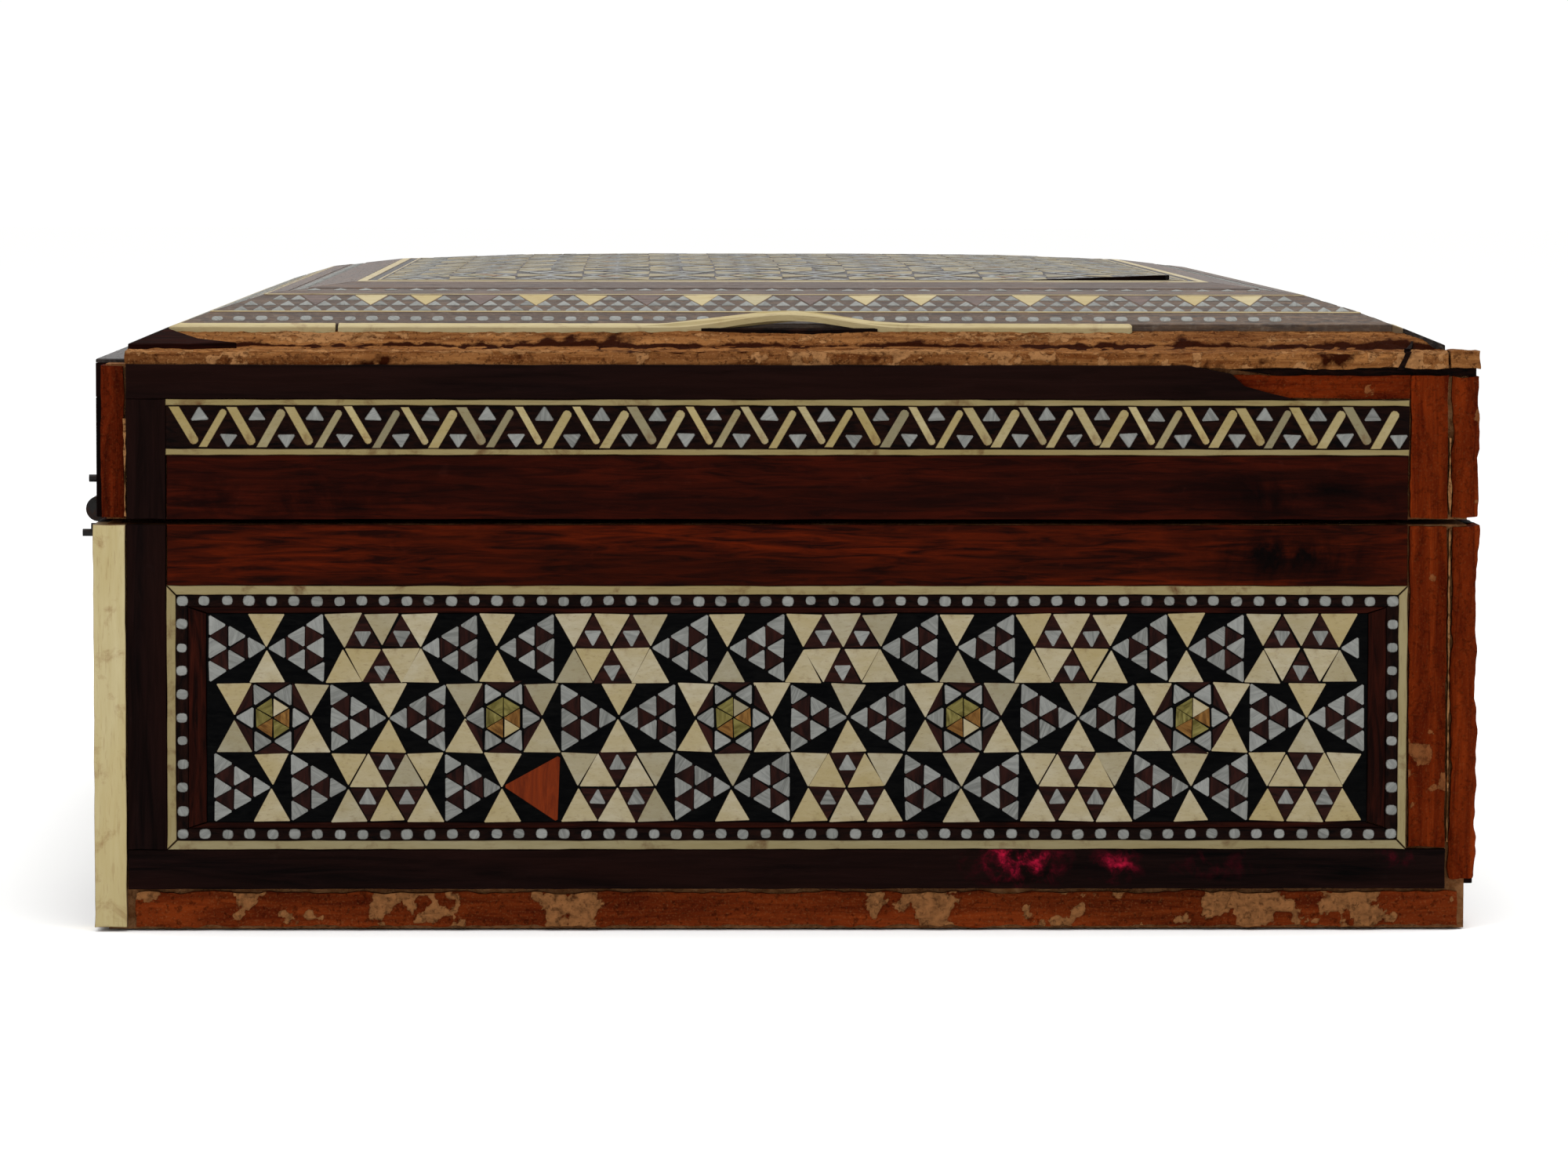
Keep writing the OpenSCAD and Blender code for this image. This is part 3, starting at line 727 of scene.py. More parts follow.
# Tiles laid by geometry nodes
def buildTileLayer():
    tree = bpy.data.node_groups.new("layTiles", "GeometryNodeTree")
    face = tree.interface
    face.new_socket("Spots", in_out="INPUT", socket_type="NodeSocketGeometry")
    face.new_socket("Tile", in_out="INPUT", socket_type="NodeSocketObject")
    face.new_socket("Material", in_out="INPUT", socket_type="NodeSocketMaterial")
    for label in ("Turn", "Size", "Shift", "Sink"):
        face.new_socket(label, in_out="INPUT", socket_type="NodeSocketFloat")
    face.new_socket("Seed", in_out="INPUT", socket_type="NodeSocketInt")
    face.new_socket("Tiles", in_out="OUTPUT", socket_type="NodeSocketGeometry")
    inp, out = tree.nodes.new("NodeGroupInput"), tree.nodes.new("NodeGroupOutput")

    def chance(seedShift, low=-1.0, high=1.0):
        seed = plus(tree, inp.outputs["Seed"], float(seedShift))
        node = addNode(tree, "FunctionNodeRandomValue", {"data_type": "FLOAT"})
        node.inputs[2].default_value = low
        node.inputs[3].default_value = high
        tree.links.new(seed, node.inputs["Seed"])
        return node.outputs[1]

    def spot(name):
        return addNode(tree, "GeometryNodeInputNamedAttribute", {"data_type": "FLOAT"},
                       Name=name).outputs[0]

    turn = plus(tree, spot("turn"), times(tree, chance(1), inp.outputs["Turn"]))
    size = times(tree, spot("size"),
                 plus(tree, 1.0, times(tree, chance(2), inp.outputs["Size"])))
    nudge = addNode(tree, "ShaderNodeCombineXYZ", X=times(tree, chance(3), inp.outputs["Shift"]),
                    Y=times(tree, chance(4), inp.outputs["Shift"]),
                    Z=times(tree, chance(5, -1.0, 0.0), inp.outputs["Sink"])).outputs[0]
    moved = addNode(tree, "GeometryNodeSetPosition", Geometry=inp.outputs["Spots"], Offset=nudge).outputs[0]
    tile = addNode(tree, "GeometryNodeObjectInfo", {"transform_space": "ORIGINAL"},
                   Object=inp.outputs["Tile"])
    laid = addNode(tree, "GeometryNodeInstanceOnPoints", Points=moved, Instance=tile.outputs["Geometry"],
                   Rotation=addNode(tree, "ShaderNodeCombineXYZ", Z=turn).outputs[0],
                   Scale=addNode(tree, "ShaderNodeCombineXYZ", X=size, Y=size, Z=1.0).outputs[0]).outputs[0]
    toned = addNode(tree, "GeometryNodeStoreNamedAttribute", {"data_type": "FLOAT", "domain": "INSTANCE"},
                    Geometry=laid,
                    Name="tone", Value=chance(6, 0.0, 1.0)).outputs[0]
    plain = addNode(tree, "GeometryNodeRealizeInstances", Geometry=toned).outputs[0]
    painted = addNode(tree, "GeometryNodeSetMaterial", Geometry=plain,
                      Material=inp.outputs["Material"]).outputs[0]
    tree.links.new(painted, out.inputs["Tiles"])
    return tree


tileLayer = buildTileLayer()
tiles = {}


def tileObject(name, outline, thick, chamfer):  # the pattern that a layer of tiles repeats
    bm, layers = newSlabs()
    addSlab(bm, layers, outline, -thick, 0, chamfer)
    mesh = meshFrom(bm, name)
    mesh.attributes.remove(mesh.attributes["tone"])
    tiles[name] = newObject(name, mesh)


def layTiles(name, spots, tile, material, jitter, seed):
    mesh = bpy.data.meshes.new(name + "Spots")
    mesh.from_pydata([(x, y, z) for x, y, z, _, _ in spots], [], [])
    for label, at in (("turn", 3), ("size", 4)):
        mesh.attributes.new(label, "FLOAT", "POINT").data.foreach_set("value", [s[at] for s in spots])
    ob = bpy.data.objects.new(name + "Spots", mesh)
    bpy.context.scene.collection.objects.link(ob)
    modifier = ob.modifiers.new("layTiles", "NODES")
    modifier.node_group = tileLayer
    values = {"Tile": tiles[tile], "Material": material, "Seed": seed, **jitter}
    for item in tileLayer.interface.items_tree:
        if item.in_out == "INPUT" and item.name in values:
            modifier[item.identifier] = values[item.name]
    graph = bpy.context.evaluated_depsgraph_get()
    laid = bpy.data.meshes.new_from_object(ob.evaluated_get(graph), preserve_all_data_layers=True,
                                           depsgraph=graph)
    bpy.data.objects.remove(ob)
    return laid


def triangle(side, clip=0.1, height=None):  # pointing up about its centroid, its corners cut a little
    h = height or side * math.sqrt(3) / 2
    tips = [Vector((-side / 2, -h / 3)), Vector((side / 2, -h / 3)), Vector((0, 2 * h / 3))]
    loop = []
    for i, tip in enumerate(tips):
        loop.append(tip.lerp(tips[i - 1], clip))
        loop.append(tip.lerp(tips[(i + 1) % 3], clip))
    return loop


def roundedSquare(w, h, corner):
    loop = []
    for sx, sy, start in ((1, -1, -90), (1, 1, 0), (-1, 1, 90), (-1, -1, 180)):
        for k in range(3):
            a = math.radians(start + 45 * k)
            loop.append(Vector((sx * (w / 2 - corner) + corner * math.cos(a),
                                sy * (h / 2 - corner) + corner * math.sin(a))))
    return loop


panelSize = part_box("mosaic_panel_left")
mosaic = {
    "rows": 3, "squash": 0.95, "tileGap": 0.16 * mm, "thick": 0.5 * mm, "chamfer": 0.05 * mm,
    "firstStar": 1.724,            # from the panel's end, in tile sides
    "rowShift": (-0.16, 0.0, -0.03),
    "groundBelow": 0.1 * mm,
    "jitter": {"Turn": 0.045, "Size": 0.05, "Shift": 0.00006, "Sink": 0.00004},
}
rowHeight = (panelSize[1].z - panelSize[0].z) / mosaic["rows"]
tileSide = rowHeight / math.sqrt(3)
smallSide = tileSide / math.sqrt(3)
gap = mosaic["tileGap"]
tileObject("bigTriangle", triangle(tileSide - 0.9 * gap, 0.03), mosaic["thick"], mosaic["chamfer"])
tileObject("smallTriangle", triangle(smallSide - 0.6 * gap, 0.09), mosaic["thick"], mosaic["chamfer"])
tileObject("darkTriangle", triangle(smallSide - 0.5 * gap, 0.03), mosaic["thick"], mosaic["chamfer"])
tileObject("bigDarkTriangle", triangle(tileSide - 0.8 * gap, 0.03), mosaic["thick"], mosaic["chamfer"])
tileObject("heartTriangle", triangle(0.5 * tileSide - 0.4 * gap, 0.1), mosaic["thick"], mosaic["chamfer"])
flat = tileSide / 2 - gap * 0.8
tileObject("sliver", [Vector((-flat, 0.17 * tileSide)), Vector((0, -0.1 * tileSide)),
                      Vector((flat, 0.17 * tileSide))],
           mosaic["thick"], mosaic["chamfer"])
tileObject("repairTriangle", triangle(3 * smallSide - 0.6 * gap, 0.04), mosaic["thick"], mosaic["chamfer"])


def mosaicSpots(width, rows, turned, topRowPlain):
    spots = {k: [] for k in ("bone", "silver", "dark", "bigDark", "heart", "sliver", "olive", "amber",
                             "boneChip", "repair")}
    u, a = tileSide, smallSide
    reach = width / mosaic["squash"]

    def put(kind, x, y, degrees, room, lift=0.0, size=1.0):
        if room - 0.06 * u <= x <= reach - room + 0.06 * u:
            spots[kind].append((x, y, lift, math.radians(degrees), size))

    def around(cx, cy, r, degrees):
        t = math.radians(degrees)
        return cx + r * math.cos(t), cy + r * math.sin(t)

    for row in range(rows):
        cy = (rows - row - 0.5) * rowHeight
        starRow = row % 2 == (1 if topRowPlain else 0)
        first = mosaic["firstStar"] - (0 if starRow else 1) + mosaic["rowShift"][row % 3]
        k = -1
        while (first + 2 * k - 1) * u < reach:
            cx = (first + 2 * k) * u
            put("bone", cx + u, cy + u / math.sqrt(3), 180, u / 2)
            put("bone", cx + u, cy - u / math.sqrt(3), 0, u / 2)
            kind = k % 3
            if starRow and kind == 0:
                for i in range(6):
                    put("silver", *around(cx, cy, 2 * u / 3, 60 * i), 60 * i - 90, a / 2)
                    put(("olive", "amber", "olive", "boneChip", "amber",
                         "olive")[(2 * i + i // 3 + row + k) % 6],
                        *around(cx, cy, 0.3 * u, 60 * i), 60 * i + 90, a / 2, 0, 0.86)
                    put("sliver", *around(cx, cy, 0.72 * u, 60 * i + 30), 60 * i - 60, a / 3)
            elif not starRow and kind == 2:
                flip = (row // 2) % 2
                for i in range(6):
                    brown = (i % 2 == 0) != bool(flip)
                    x, y = around(cx, cy, u / math.sqrt(3), 30 + 60 * i)
                    up = 0 if i % 2 == 0 else 180
                    if brown:
                        put("bigDark", x, y, up, u / 2, -0.00003)
                        put("heart", x, y, up + 180, u / 4, 0.00002)
                    else:
                        put("bone", x, y, up, u / 2)
            else:
                way = turned(row, k)
                if way == 0:
                    put("repair", cx, cy, 90, u / 2)
                else:
                    spin = math.radians(-90 * way)
                    for j in range(3):
                        for i in range(3 - j):
                            x, y = a * (i - (2 - j) / 2), a * (-0.866 + 0.866 * j + 0.2887)
                            put("silver", cx + x * math.cos(spin) - y * math.sin(spin),
                                cy + x * math.sin(spin) + y * math.cos(spin),
                                -90 * way, a / 4)
                        for i in range(2 - j):
                            x, y = a * (i - (1 - j) / 2), a * (-0.866 + 0.866 * j + 0.5774)
                            put("dark", cx + x * math.cos(spin) - y * math.sin(spin),
                                cy + x * math.sin(spin) + y * math.cos(spin),
                                -90 * way + 180, a / 4)
            k += 1
    return spots


tileKinds = {
    "bone": ("bigTriangle", "boneTile"), "silver": ("smallTriangle", "pewter"),
    "dark": ("darkTriangle", "darkTile"),
    "bigDark": ("bigDarkTriangle", "darkTile"), "heart": ("heartTriangle", "pewter"),
    "sliver": ("sliver", "darkTile"),
    "olive": ("darkTriangle", "oliveTile"), "amber": ("darkTriangle", "amberTile"),
    "boneChip": ("darkTriangle", "boneTile"),
    "repair": ("repairTriangle", "redTile"),
}


def joined(meshes, name):  # one mesh of several, each keeping its material
    parts = [newObject(m.name, m) for m in meshes if len(m.vertices)]
    bpy.ops.object.select_all(action="DESELECT")
    for p in parts:
        p.select_set(True)
    bpy.context.view_layer.objects.active = parts[0]
    if len(parts) > 1:
        bpy.ops.object.join()
    mesh = parts[0].data
    bpy.data.objects.remove(parts[0])
    mesh.name = name
    return mesh


def tileMesh(spots, name, seed, squash=1.0, finish=""):
    meshes = []
    for i, (kind, (tile, material)) in enumerate(tileKinds.items()):
        if spots.get(kind):
            meshes.append(layTiles(name + kind, spots[kind], tile, mats[material + finish],
                                   mosaic["jitter"], seed + i))
    mesh = joined(meshes, name)
    mesh.transform(Matrix.Diagonal((squash, 1, 1, 1)))
    return mesh


def leftEndTurns(row, k):  # where each silver triangle points: 1 right, -1 left, 0 for a plain repair
    if row == 1:
        return 1 if k % 3 == 1 else -1
    if row == 0:
        return 1 if k == 0 else -1
    if k in (0, 1, 3):
        return 1
    return 0 if k == 4 else (1 if k % 3 == 0 else -1)


def otherTurns(row, k):
    return 1 if (k % 3 == 1) == (row % 2 == 1) else -1


for index, side in enumerate(sides):
    node = "mosaic_panel_" + side
    to = sideMatrix(side)
    corners = [to.inverted() @ c for c in islands(node)[0]]
    x0, x1 = min(c.x for c in corners), max(c.x for c in corners)
    z0 = min(c.y for c in corners)
    spots = mosaicSpots(x1 - x0, mosaic["rows"], leftEndTurns if side == "left" else otherTurns, True)
    mesh = tileMesh(spots, "mosaicTiles_" + side, 40 * index + 3, mosaic["squash"])
    mesh.transform(to @ Matrix.Translation((x0, z0, veneerThickness)))
    newObject("mosaicTiles_" + side, mesh, body="base")
    strips("mosaicGround_" + side, node, "blackBed", "base", mosaic["groundBelow"], 0)
print("stage: side mosaics")

# Dotted borders of the side panels
dots = {
    "across": 1.3 * mm, "high": 1.15 * mm, "corner": 0.42 * mm, "pitch": 2.6 * mm, "thick": 0.5 * mm,
    "jitter": {"Turn": 0.12, "Size": 0.07, "Shift": 0.00006, "Sink": 0.00008}, "groundBelow": 0.12 * mm,
}
tileObject("dot", roundedSquare(dots["across"], dots["high"], dots["corner"]), dots["thick"], 0.1 * mm)


def ringSpots(x0, x1, y0, y1, pitch):  # evenly spaced around a rectangle, with one at each corner
    spots = []
    across, up = round((x1 - x0) / pitch), round((y1 - y0) / pitch)
    for i in range(across + 1):
        x = x0 + (x1 - x0) * i / across
        spots += [(x, y0, 0, 0, 1), (x, y1, 0, 0, 1)]
    for i in range(1, up):
        y = y0 + (y1 - y0) * i / up
        spots += [(x0, y, 0, 0, 1), (x1, y, 0, 0, 1)]
    return spots


for index, side in enumerate(sides):
    node = "dot_border_" + side
    to = sideMatrix(side)
    corners = [to.inverted() @ c for piece in islands(node) for c in piece]
    x0, x1, y0, y1 = (f(c[i] for c in corners) for i in (0, 1) for f in (min, max))
    inset = 0.7 * mm
    spots = ringSpots(x0 + inset, x1 - inset, y0 + inset, y1 - inset, dots["pitch"])
    mesh = layTiles("dots_" + side, spots, "dot", mats["pewter"], dots["jitter"], 300 + index)
    mesh.transform(to @ Matrix.Translation((0, 0, veneerThickness)))
    newObject("dots_" + side, mesh, body="base")
    strips("dotGround_" + side, node, "darkBed", "base", dots["groundBelow"], 0)
print("stage: dotted borders")


# Zigzag bands
zigzag = {
    "pitch": 6.66 * mm, "closing": 0.023 * mm, "lean": 60, "short": 0.3 * mm, "barWidth": 0.86 * mm,
    "thick": 0.5 * mm, "groundBelow": 0.1 * mm,
    "firstUpper": 3.85 * mm, "triangle": 2.3 * mm, "triangleHigh": 1.75 * mm,
    "fromEdge": 1.15 * mm, "jitter": {"Turn": 0.05, "Size": 0.07, "Shift": 0.00008, "Sink": 0.00008},
}
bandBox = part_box("zigzag_band_left")
bandHigh = bandBox[1].z - bandBox[0].z


def leaningBar(width, lean):  # a bone bar, square against one line and rounded short of the other
    half = bandHigh / 2 - zigzag["short"]
    a = math.radians(lean)
    drift, w, r = half / math.tan(a), width / 2 / math.sin(a), width / 2
    along, across = Vector((math.cos(a), math.sin(a))), Vector((math.sin(a), -math.cos(a)))
    tip = Vector((drift, half)) - 0.8 * r * along
    nose = [tip + across * r * math.cos(t) + along * 0.8 * r *
            math.sin(t) for t in (math.pi * k / 4 for k in range(5))]
    return [Vector((-drift - w, -half)), Vector((-drift + w, -half))] + nose


for label, width in (("", zigzag["barWidth"]), ("Wide", 1.25 * zigzag["barWidth"])):
    rising = leaningBar(width, zigzag["lean"])
    tileObject("barRight" + label, rising, zigzag["thick"], 0.07 * mm)
    tileObject("barLeft" + label, [Vector((p.x, -p.y)) for p in reversed(rising)], zigzag["thick"],
               0.07 * mm)
tileObject("pocketTriangle", triangle(zigzag["triangle"], 0.1, zigzag["triangleHigh"]), zigzag["thick"],
           0.1 * mm)


def zigzagMesh(width, name, seed):
    z = zigzag
    middle = bandHigh / 2
    layers = {k: [] for k in ("pocketTriangle", "barRight", "barLeft", "barRightWide", "barLeftWide")}
    rng = random.Random(seed)
    i, upper = -1, z["firstUpper"] - z["pitch"]
    while upper < width + z["pitch"]:
        pitch = z["pitch"] - i * z["closing"]
        lower = upper + 0.5 * pitch
        rise = middle - z["fromEdge"]
        room = 0.9 * mm
        for x, y, turn in ((upper, middle + rise, 0), (lower, middle - rise, math.pi)):
            if room < x < width - room:
                layers["pocketTriangle"].append((x, y, 0, turn, 1))
        right, left = upper + 0.25 * pitch, upper + 0.75 * pitch
        for x, y, kind in ((right, -1, "barRight"), (left, 1, "barLeft")):
            if 1.9 * mm < x < width - 1.9 * mm:
                layers[kind + ("Wide" if rng.random() > 0.6 else "")].append((x, middle + y * 0.2 * mm, 0,
                                                                              0, 1))
        upper += pitch
        i += 1
    still = dict(z["jitter"], Size=0.0, Turn=0.02)
    meshes = []
    for n, (kind, spots) in enumerate(layers.items()):
        bars = kind.startswith("bar")
        finish = mats[("boneBarPale" if kind == "barLeft" else "boneBar") if bars else "pewter"]
        meshes.append(layTiles(name + kind, spots, kind, finish, still if bars else z["jitter"], seed + n))
    return joined(meshes, name)


for index, side in enumerate(sides):
    node = "zigzag_band_" + side
    to = sideMatrix(side)
    corners = [to.inverted() @ c for c in islands(node)[0]]
    x0, x1, y0 = min(c.x for c in corners), max(c.x for c in corners), min(c.y for c in corners)
    mesh = zigzagMesh(x1 - x0, "zigzagInlay_" + side, 500 + 10 * index)
    mesh.transform(to @ Matrix.Translation((x0, y0, veneerThickness)))
    newObject("zigzagInlay_" + side, mesh, body="lid")
    strips("zigzagGround_" + side, node, "darkBed", "lid", zigzag["groundBelow"], 0)
print("stage: zigzag bands")


# The lid's cushion top
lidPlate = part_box("lid_dark_border")[1]
plateHalf = {"front": lidPlate.y, "back": lidPlate.y, "left": lidPlate.x, "right": lidPlate.x}
plateOther = {"front": lidPlate.x, "back": lidPlate.x, "left": lidPlate.y, "right": lidPlate.y}
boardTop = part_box("lid_top_board")[1].z
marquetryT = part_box("lid_centre_panel")[1].z - boardTop


def insetAt(x, y):
    return min(lidPlate.x - abs(x), lidPlate.y - abs(y))


def boardProfile():  # height of the lid's board at each distance in from the marquetry's edge
    found = {}
    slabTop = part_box("lid_dark_border")[0].z
    for v in frame["nodes"]["lid_top_board"].data.vertices:
        inset = round(insetAt(v.co.x, v.co.y), 5)
        if v.co.z > slabTop - 0.0002 and inset >= 0:
            found[inset] = max(found.get(inset, 0), v.co.z)
    found.setdefault(0.0, slabTop)
    return sorted(found.items())


lidProfile = boardProfile()


def boardHeight(inset):
    inset = max(inset, 0)
    for (a, za), (b, zb) in zip(lidProfile, lidProfile[1:]):
        if inset <= b:
            return za + (zb - za) * (inset - a) / (b - a)
    return lidProfile[-1][1]


def lidInset(node):
    return round(lidPlate.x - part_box(node)[1].x, 5)


def onLid(side):  # from (along the edge, in from the edge, above the marquetry) to the lid
    turn = Matrix.Rotation(math.radians(90 * sides.index(side)), 3, "Z")

    def put(v):
        inset = min(v.y, plateOther[side] - abs(v.x))
        return turn @ Vector((v.x, v.y - plateHalf[side], boardHeight(inset) + marquetryT + v.z))
    return put


edge = {name: lidInset(node) for name, node in (
    ("stringing", "lid_bone_stringing"), ("dots", "lid_dotted_row"), ("triangles", "lid_triangle_band"),
    ("rows", "lid_narrow_rows"), ("panelLine", "lid_panel_line"), ("panel", "lid_centre_panel"))}


def mitredRun(side, a, b, start=None, end=None):
    half = plateOther[side]
    gap = 0.03 * mm
    x0, x1 = -half + gap, half - gap
    low = Vector((x0 + a if start is None else start, a + gap)), Vector((x1 - a if end is None else end,
                                                                         a + gap))
    high = Vector((x1 - b if end is None else end, b - gap)), Vector((x0 + b if start is None else start,
                                                                      b - gap))
    return [*low, *high]


def lidStrips(name, a, b, material, replaces=(), lower=0.0, wobble=0.05 * mm, only=sides,
              chamfer=0.06 * mm, thick=None):
    bm, layers = newSlabs()
    for side in only:
        rng = random.Random(name + side)
        loop = roughLoop(mitredRun(side, a, b), 1.6 * mm, wobble, rng.uniform(0, 90))
        depth = thick or marquetryT
        addSlab(bm, layers, loop, -depth, -lower, min(chamfer, (b - a) / 4), rng.random(), False,
                onLid(side))
    return newObject(name, meshFrom(bm, name), (material,), "lid", replaces)


bands = {
    "fineLine": 0.38 * mm, "woodLine": 2.5 * mm, "smallRow": 2.3 * mm, "secondLineFrom": 1.1 * mm,
    "bed": 0.08 * mm, "dotPitch": 2.57 * mm, "dotAcross": 1.45 * mm,
    "triangleSide": 2.147 * mm, "smallRowPitch": 3.0 * mm,
}
fine = bands["fineLine"]
lidStrips("lidDarkBorder", 0, edge["stringing"], "lidEbonyTop", ("lid_dark_border",),
          only=("front", "right", "back"))
lidStrips("lidDotBed", edge["dots"], edge["triangles"], "lidBedTop", ("lid_dotted_row",),
          bands["bed"], 0)
lidStrips("lidTriangleBed", edge["triangles"], edge["rows"], "lidBedTop", ("lid_triangle_band",),
          bands["bed"], 0)
lidStrips("lidOuterFineLine", edge["triangles"] - fine / 2, edge["triangles"] + fine / 2, "boneTop",
          thick=0.5 * mm)
lidStrips("lidInnerFineLine", edge["rows"] - fine / 2, edge["rows"] + fine / 2, "boneTop",
          thick=0.5 * mm)
rowsFrom = edge["rows"] + bands["woodLine"]
rowsTo = rowsFrom + bands["smallRow"]
lidStrips("lidWoodLine", edge["rows"] + fine / 2, rowsFrom, "lidWoodTop", ("lid_narrow_rows",))
lidStrips("lidSmallRowBed", rowsFrom, rowsTo, "lidBedTop", (), bands["bed"], 0)
lidStrips("lidInnerBorder", rowsTo, edge["panelLine"], "lidWoodTop")
lidStrips("lidPanelLine", edge["panelLine"], edge["panel"], "boneTop", ("lid_panel_line",))


def borderRemnant():  # all that is left of the left end's border, in the back corner
    bm, layers = newSlabs()
    half = plateOther["left"]
    loop = [Vector(p) for p in ((-half + 0.1 * mm, 0.05 * mm), (-half + 7 * mm, 0.0),
                                (-half + 12.5 * mm, 0.5 * mm),
                                (-half + 8 * mm, 1.6 * mm), (-half + 4.3 * mm, 4.2 * mm))]
    addSlab(bm, layers, roughLoop(loop, 0.7 * mm, 0.12 * mm, 8), -marquetryT, -0.02 * mm, 0.08 * mm, 0.6,
            False, onLid("left"))
    newObject("borderRemnant", meshFrom(bm, "borderRemnant"), ("darkBorder",), "lid")


borderRemnant()


def stringingPieces():
    s = {"bow": 1.3 * mm, "bowHalf": 14 * mm, "break": -52.3 * mm, "end": 40.2 * mm}
    bm, layers = newSlabs()
    a, b = edge["stringing"], edge["dots"]
    for side in ("front", "right", "back"):
        loop = roughLoop(mitredRun(side, a, b), 1.6 * mm, 0.04 * mm, sides.index(side))
        addSlab(bm, layers, loop, -marquetryT, 0, 0.1 * mm, 0.4, False, onLid(side))
    sprung = onLid("left")  # the left end's piece is broken, sprung up in its middle and lost at one end

    def lifted(v):
        t = max(-1, min(1, v.x / s["bowHalf"]))
        bow = s["bow"] * (0.5 + 0.5 * math.cos(math.pi * t))
        return sprung(Vector((v.x, v.y + 0.35 * bow, v.z + bow)))

    first = mitredRun("left", a, b, end=s["break"] - 0.15 * mm)
    first[0].x = -plateOther["left"] + a
    first[3].x = -plateOther["left"] + b
    second = mitredRun("left", a, b, start=s["break"] + 0.15 * mm, end=s["end"])
    tip = (b - a) / 2
    second = second[:1] + [Vector((s["end"] - tip + tip * math.sin(t), a + tip - tip * math.cos(t)))
                           for t in (math.pi * k / 6 for k in range(7))] + second[3:]
    for loop, tone in ((first, 0.5), (second, 0.75)):
        addSlab(bm, layers, roughLoop(loop, 0.9 * mm, 0.07 * mm, 5), -0.8 * marquetryT, 0.05 * mm,
                0.12 * mm, tone, False,
                lifted, 0.15)
    newObject("lidStringing", meshFrom(bm, "lidStringing"), ("boneTop",), "lid",
              ("lid_bone_stringing",))


stringingPieces()

tileObject("lidDot", roundedSquare(bands["dotAcross"], 1.3 * mm, 0.45 * mm), 0.4 * mm, 0.1 * mm)
unit = bands["triangleSide"]
subRow = (edge["rows"] - edge["triangles"] - fine) / 3
tileObject("bandSilver", triangle(unit - 0.22 * mm, 0.1, subRow - 0.2 * mm), 0.4 * mm, 0.08 * mm)
tileObject("bandBig", triangle(2 * unit - 0.2 * mm, 0.03, 2 * subRow - 0.15 * mm), 0.4 * mm, 0.06 * mm)
tileObject("rowChip", triangle(1.9 * mm, 0.1, 1.5 * mm), 0.4 * mm, 0.08 * mm)


def lidRun(side):
    half = plateOther[side]
    kinds = {k: [] for k in ("lidDot", "bandSilver", "bandBigBone", "bandBigBrown", "rowChip")}

    def put(kind, x, y, turn, room):
        if abs(x) < half - y - room:
            kinds[kind].append((x, y, 0, turn, 1))

    across = edge["dots"] + 0.42 * (edge["triangles"] - edge["dots"])
    steps = int(half / bands["dotPitch"])
    lost = 58 * mm if side == "left" else half
    for i in range(-steps, steps + 1):
        if i * bands["dotPitch"] < lost:
            put("lidDot", (i + 0.2) * bands["dotPitch"], across, 0, 0.3 * mm)
    start = edge["triangles"] + fine / 2
    steps = int(half / unit)
    shift = 2.9 * mm - 0.5 * unit if side == "left" else 0
    for i in range(-steps - 3, steps + 4):
        for row in range(3):
            up = i + 0.5 + row / 2
            low = start + row * subRow
            if row != 2 or round(2 * up) % 6 != 1:
                put("bandSilver", up * unit + shift, low + subRow / 3, 0, 0.5 * unit)
        if i % 3 == 0:
            kind = "bandBigBrown" if (i // 3) % 3 == 0 else "bandBigBone"
            put(kind, (i + 0.5) * unit + shift, start + 3 * subRow - 2 * subRow / 3, math.pi, 0.9 * unit)
    steps = int(half / bands["smallRowPitch"])
    for i in range(-steps, steps + 1):
        put("rowChip", (i + 0.5) * bands["smallRowPitch"], (rowsFrom + rowsTo) / 2, 0, 0.4 * mm)
    paint = {"lidDot": ("lidDot", "pewterTop"), "bandSilver": ("bandSilver", "pewterTop"),
             "bandBigBone": ("bandBig", "boneTop"), "bandBigBrown": ("bandBig", "brownTileTop"),
             "rowChip": ("rowChip", "pewterTop")}
    meshes = []
    for n, (kind, (tile, material)) in enumerate(paint.items()):
        meshes.append(layTiles("lid" + kind, kinds[kind], tile, mats[material], mosaic["jitter"],
                               700 + 20 * sides.index(side) + n))
    mesh = joined(meshes, "lidInlay_" + side)
    lift = onLid(side)
    for v in mesh.vertices:
        v.co = lift(v.co)
    newObject("lidInlay_" + side, mesh, body="lid")


for side in sides:
    lidRun(side)


